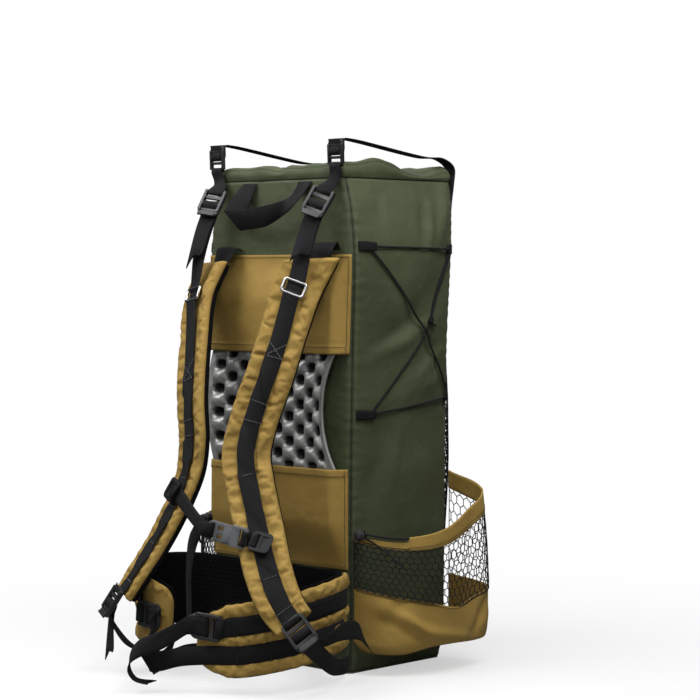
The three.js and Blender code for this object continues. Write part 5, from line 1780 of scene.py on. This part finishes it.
# %% [markdown]
# ## Side lacing and pocket cords
# A thin elastic cord zigzags over each side panel between four tabs, and another draws in the
# pocket's mouth. A cord is a curve with a round section, made a mesh at the end. Its points
# follow the panel, and it stands off by its own radius.

# %% Cords
CORD = {"radius": 1.5, "over": 0.6, "cross": 3.2, "cross_run": 0.14, "sweep": 8, "limit": 0.95, "past": 3}


def lay_cord(name, points, radius):
    curve = bpy.data.curves.new(name, "CURVE")
    curve.dimensions = "3D"
    curve.bevel_depth = radius * MM
    curve.bevel_resolution = 3
    curve.use_fill_caps = True
    spline = curve.splines.new("NURBS")
    spline.points.add(len(points) - 1)
    for made, point in zip(spline.points, points):
        made.co = (*(point * MM), 1)
    spline.use_endpoint_u = True
    spline.order_u = 3
    spline.resolution_u = 4
    select_only(link_piece(name, curve))
    bpy.ops.object.convert(target="MESH")
    return bpy.context.object


print("cord:", 2 * CORD["radius"], "mm thick")

# %% Lacing routes
EYES = [(-80.9, 582.2), (85.4, 579.2), (-80.5, 353.4), (86.2, 372.3)]  # y, z
CROSSING = (33, 464)  # where the diagonals bend round each other
LEG_POINTS = 12
DOUBLED = 1  # the leg where the cord's end lies back beside it
KNOT = {
    "eye": 0.02, "at": 0.43, "turns": 2.5, "across": 2.6, "long": 7, "tail": 9,
    "gap": 2.1, "beside": 10, "closing": 3, "steps": 24,
}


def side_point(y, z, sign, stand):
    """A point over the dressed side panel."""
    row = row_at(BAG, "z", z)
    half = (row["front"] - row["back"]) / 2
    s = (y - (row["front"] + row["back"]) / 2) / (half - CORNER + CORNER * math.pi / 4)
    s = clamp(s, -CORD["limit"], CORD["limit"])
    point = bag_point("left", s, z)
    point.x += panel_lift("left" if sign > 0 else "right", s, point) + stand
    point.x *= sign
    return point


def lace_place(leg, t):
    """A place along one leg of the lacing; the odd legs are the diagonals."""
    start, end = EYES[leg], EYES[(leg + 1) % len(EYES)]
    if leg % 2:
        start, end, t = (start, CROSSING, 2 * t) if t < 0.5 else (CROSSING, end, 2 * t - 1)
    return lerp(start[0], end[0], t), lerp(start[1], end[1], t)


def lace_point(leg, t, sign):
    """A point of the cord, standing off the panel's folds; the last leg passes over the other."""
    y, z = lace_place(leg, t)
    crest = max(abs(side_point(y + dy, z, sign, 0).x) for dy in (-CORD["sweep"], 0, CORD["sweep"]))
    over = CORD["cross"] * bell((t - 0.5) / CORD["cross_run"]) if leg == 3 else 0.0
    return Vector((sign * (crest + CORD["radius"] + CORD["over"] + over), y, z))


def lacing_route(sign):
    route = [lace_point(leg, n / LEG_POINTS, sign) for leg in range(len(EYES)) for n in range(LEG_POINTS)]
    return route + [route[0] + Vector((0, -CORD["past"], 0))]


def knotted_end(sign):
    """The cord's end: beside its first diagonal, round it in a knot, and off as a short stub."""
    knot, eye = lace_point(DOUBLED, KNOT["at"], sign), lace_point(DOUBLED, KNOT["eye"], sign)
    way = (knot - eye).normalized()
    outwards = Vector((sign, 0, 0))
    aside = way.cross(outwards).normalized()
    route = []
    for n in range(KNOT["beside"] + 1):
        gap = KNOT["gap"] * CORD["radius"] * smooth((KNOT["beside"] - n) / KNOT["closing"])
        t = lerp(KNOT["eye"], KNOT["at"], n / KNOT["beside"])
        route.append(lace_point(DOUBLED, t, sign) + aside * gap)
    for n in range(KNOT["steps"] + 1):
        share = n / KNOT["steps"]
        angle = 2 * math.pi * KNOT["turns"] * share
        turned = aside * math.cos(angle) + outwards * math.sin(angle)
        route.append(knot + way * KNOT["long"] * (share - 0.5) + turned * KNOT["across"])
    return route + [route[-1] - aside * KNOT["tail"] * share + outwards * share for share in (0.5, 1)]


print("points of a lacing:", len(EYES) * LEG_POINTS)

# %% Lace the sides
TAB = {"back": 40, "front": 24, "wide": 14, "loop": 16, "reach": 0.7, "sewn": 1.2, "rise": 3.2, "taper": 0.25}
TAB_ROWS = {"last": 6, "rise": 2, "taper": 3, "over": 3}  # where it starts to rise and to taper


def lacing_tab(name, y, z, sign):
    """A folded tape sewn into the seam, with the cord through its end."""
    inwards = 1 if y < 0 else -1
    length = TAB["back"] if y < 0 else TAB["front"]
    start = y + inwards * (TAB["loop"] - length)
    first, second = [], []
    for n in range(TAB_ROWS["last"] + 1):
        here = lerp(start, y + inwards * TAB["loop"] * TAB["reach"], n / TAB_ROWS["last"])
        stand = TAB["sewn"] + TAB["rise"] * smooth((n - TAB_ROWS["rise"]) / TAB_ROWS["over"])
        half = TAB["wide"] / 2 * (1 - TAB["taper"] * smooth((n - TAB_ROWS["taper"]) / TAB_ROWS["over"]))
        first.append(side_point(here, z - half, sign, stand))
        second.append(side_point(here, z + half, sign, stand))
    return lay_tape(name, first, second)


for side, sign in SIDES.items():
    cord = lay_cord("lacing_" + side, lacing_route(sign), CORD["radius"])
    dress(cord, "cord_sheath", "shock_cord", "side_lacing_" + side)
    end = lay_cord("lacing_end_" + side, knotted_end(sign), CORD["radius"])
    dress(end, "cord_sheath", "shock_cord")
    for n, (y, z) in enumerate(EYES):
        tab = lacing_tab(f"lacing_tab_{side}_{n}", y, z, sign)
        dress(tab, "black_webbing", "webbing")
print("lacing:", len(cord.data.polygons), "faces a side")

# %% Cord locks and the drawn hem
LOCK = {"at": 0.02, "drop": -5, "out": 7, "lean": 0.5, "rise": 0.1, "radius": 7.5, "long": 13, "edge": 0.7}
PLUNGER = {"long": 8, "slim": 0.66, "raised": 0.6}  # slim and raised are shares of the body
GROOVE = {"size": (30, 2.6, 2.6), "at": (0, 0, 1)}
HEM_CORD = {"radius": 1.6, "lead": 5, "up": -1.5, "out": 1.5, "bow": 1.2, "points": 10}


def hem_point(t, up, out, sign):
    point = pocket_point(t, row_at(POCKET_EDGES, "t", t)["hem"] + up)
    point.x += out
    point.x *= sign
    return point


def cord_lock(name, at, way):
    """A barrel lock: a round body with a sprung plunger standing out of one end."""
    bpy.ops.object.select_all(action="DESELECT")
    bpy.ops.mesh.primitive_cylinder_add(vertices=20, radius=LOCK["radius"] * MM, depth=LOCK["long"] * MM)
    body = bpy.context.object
    body.name = name
    bpy.ops.mesh.primitive_cylinder_add(
        vertices=16, radius=PLUNGER["slim"] * LOCK["radius"] * MM, depth=PLUNGER["long"] * MM,
        location=(0, 0, PLUNGER["raised"] * LOCK["long"] * MM),
    )
    plunger = bpy.context.object
    bpy.ops.object.transform_apply(location=True, rotation=True, scale=True)
    shape_by(body, "DIFFERENCE", block(**GROOVE))
    shape_by(body, "UNION", plunger)
    soften(body, LOCK["edge"], 3)
    turned = way.to_track_quat("Z", "Y").to_matrix().to_4x4()
    body.data.transform(Matrix.Translation(at * MM) @ turned)
    return body


for side, sign in SIDES.items():
    seat = hem_point(LOCK["at"], LOCK["drop"], LOCK["out"], sign)
    lock = cord_lock("cord_lock_" + side, seat, Vector((LOCK["lean"] * sign, -1, LOCK["rise"])))
    dress(lock, "moulded_black", "buckle", sharp=40)
    run = [seat + Vector((0, HEM_CORD["lead"], 0))]
    for n in range(HEM_CORD["points"] + 1):
        share = n / HEM_CORD["points"]
        out = HEM_CORD["out"] + HEM_CORD["bow"] * math.sin(math.pi * share)
        run.append(hem_point(lerp(*DRAWN, share), HEM_CORD["up"], out, sign))
    drawn = lay_cord("hem_cord_" + side, run, HEM_CORD["radius"])
    dress(drawn, "cord_sheath", "shock_cord")
print("cord locks:", len(SIDES))

# %% Free tails of the hem cords
TAIL = {"diameter": 2.8, "to": 0.24, "fall": 37, "sag": 1.7, "points": 15, "start_out": 9, "out": 4.5}


def tail_route(sign):
    """From the lock, forwards and down over the net, as a limp end hangs."""
    points = [hem_point(LOCK["at"], LOCK["drop"], TAIL["start_out"], sign)]
    for n in range(1, TAIL["points"] + 1):
        share = n / TAIL["points"]
        drop = LOCK["drop"] - TAIL["fall"] * share ** TAIL["sag"]
        points.append(hem_point(lerp(LOCK["at"], TAIL["to"], share), drop, TAIL["out"], sign))
    return points


for side, sign in SIDES.items():
    points = tail_route(sign)
    length = run_lengths(points)[-1]
    tail = lay_cord("cord_tail_" + side, points, TAIL["diameter"] / 2)
    dress(tail, "cord_sheath", "shock_cord")
    print(tail.name, round(length), "mm")

# %% [markdown]
# ## Stitching
# Thread shows on every hem and where webbing is tacked down. A bump would vanish in a close
# view, so each stitch is a tiny spindle of eight triangles, laid along a line on the same
# surface that made the cloth. All the stitches of one thread on one part are a single mesh.

# %% Stitch tools
STITCH = {"pitch": 3.8, "long": 3.4, "radius": 0.75, "lift": 0.15, "step": 0.003}
HEM_ENDS = (0.02, 0.98)  # the share of a hem that is sewn


def line_on(surface, path, turn=1):
    """Points and normals along a path over a surface, a stitch apart."""
    fine = np.linspace(0, 1, FINE + 1)
    lengths = run_lengths([surface(*path(n / FINE)) for n in range(FINE + 1)])
    count = max(1, int(lengths[-1] / STITCH["pitch"]))
    step = STITCH["step"]
    run = []
    for q in np.interp((np.arange(count) + 0.5) / count * lengths[-1], lengths, fine):
        u, v = path(float(q))
        side = surface(min(u + step, 1), v) - surface(max(u - step, 0), v)
        up = surface(u, min(v + step, 1)) - surface(u, max(v - step, 0))
        run.append((surface(u, v), side.cross(up).normalized() * turn))
    return run


def level_line(surface, v, turn=1, ends=HEM_ENDS):
    return line_on(surface, lambda q: (lerp(*ends, q), v), turn)


def sew(name, runs, look, slot):
    """One mesh of all the stitches along runs of points and normals."""
    points = []
    faces = []
    for run in runs:
        for n, (at, normal) in enumerate(run):
            ahead, behind = run[min(n + 1, len(run) - 1)][0], run[max(n - 1, 0)][0]
            along = (ahead - behind).normalized()
            side = along.cross(normal) * STITCH["radius"]
            up = normal * STITCH["radius"]
            at = at + normal * STITCH["lift"]
            first = len(points)
            reach = along * STITCH["long"] / 2
            points += [at - reach, at + side, at + up, at - side, at - up, at + reach]
            for i in range(4):
                a, b = first + 1 + i, first + 1 + (i + 1) % 4
                faces += [(first, b, a), (first + 5, a, b)]
    piece = mesh_piece(name, points, faces)
    edit_all(piece, bpy.ops.mesh.normals_make_consistent, inside=False)
    dress(piece, look, slot)
    print(name, len(points) // 6, "stitches")


print("a stitch every", STITCH["pitch"], "mm")

# %% Hems
HEM_LINES = {"foot": 0.955, "side_hem": 0.22, "front_hem": 0.2, "collar": (0.03, 0.3)}  # shares of a height
SLEEVE_LINES = {"lip": 9.5, "foot": 4, "ends": (0.012, 0.988), "sides": (0.014, 0.986), "along": (0.03, 0.99)}

runs = []
for facts in SLEEVES.values():
    surface = sleeve_surface(facts)
    tall = abs(facts["open"] - facts["sewn"])
    for lip in (SLEEVE_LINES["lip"], tall - SLEEVE_LINES["foot"]):
        runs.append(level_line(surface, 1 - lip / tall, facts["facing"], SLEEVE_LINES["ends"]))
    for u in SLEEVE_LINES["sides"]:
        runs.append(line_on(surface, lambda q, u=u: (u, lerp(*SLEEVE_LINES["along"], q)), facts["facing"]))
sew("sleeve_stitches", runs, "black_thread", "tan_cloth")

runs = []
for sign in SIDES.values():
    runs.append(level_line(foot_band(sign), HEM_LINES["foot"]))
    runs.append(level_line(hem_band(sign), HEM_LINES["side_hem"]))
runs.append(level_line(front_rim, HEM_LINES["front_hem"]))
sew("pocket_stitches", runs, "black_thread", "tan_cloth")

runs = [level_line(collar_surface, v, ends=(0, 1)) for v in HEM_LINES["collar"]]
sew("collar_stitches", runs, "olive_thread", "pack_cloth")

# %% Tacks across the webbing
WEB_TOP = {"strap": 7.0, "cross": 7.3, "wing": 10.05}  # where thread lies on the webbing
TACK = {"half": 11.5, "stitches": 7}
CROSS = {"above": 0.17, "reach": 0.16, "stitches": 8}  # crossing rows above each strap's first tack


def seam_row(start, end, count, normal):
    return [(start.lerp(end, n / (count - 1)), normal) for n in range(count)]


def tack_row(place, height, offset=0.0):
    """A row of stitches across the webbing at a place on a track."""
    middle = place["at"] + place["out"] * height + place["across"] * offset
    reach = place["across"] * TACK["half"]
    return seam_row(middle - reach, middle + reach, TACK["stitches"], place["out"])


def cross_rows(track, k):
    """Two crossing rows of stitches over a stretch of the webbing."""
    near, far = track(k - CROSS["reach"]), track(k + CROSS["reach"])
    runs = []
    for turn in (-TACK["half"], TACK["half"]):
        start = near["at"] + near["across"] * turn + near["out"] * WEB_TOP["cross"]
        end = far["at"] - far["across"] * turn + far["out"] * WEB_TOP["cross"]
        runs.append(seam_row(start, end, CROSS["stitches"], near["out"]))
    return runs


runs = []
for side, track in strap_tracks.items():
    runs += [tack_row(track(k), WEB_TOP["strap"]) for k in STRAP_TACKS[side]]
    runs += cross_rows(track, STRAP_TACKS[side][0] - CROSS["above"])
# the strap tacks are black thread, painted grey as painted highlights
sew("strap_tacks", runs, "grey_thread", "webbing")

runs = []
for side in SIDES:
    for place in map(belt_track, WING_TACKS[side]):
        for band in (-WING["band"], WING["band"]):
            runs.append(tack_row(place, WEB_TOP["wing"], band * place["width"] / 2))
sew("wing_tacks", runs, "black_thread", "webbing")

# %% Bounds of the dressed pieces
low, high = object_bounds()
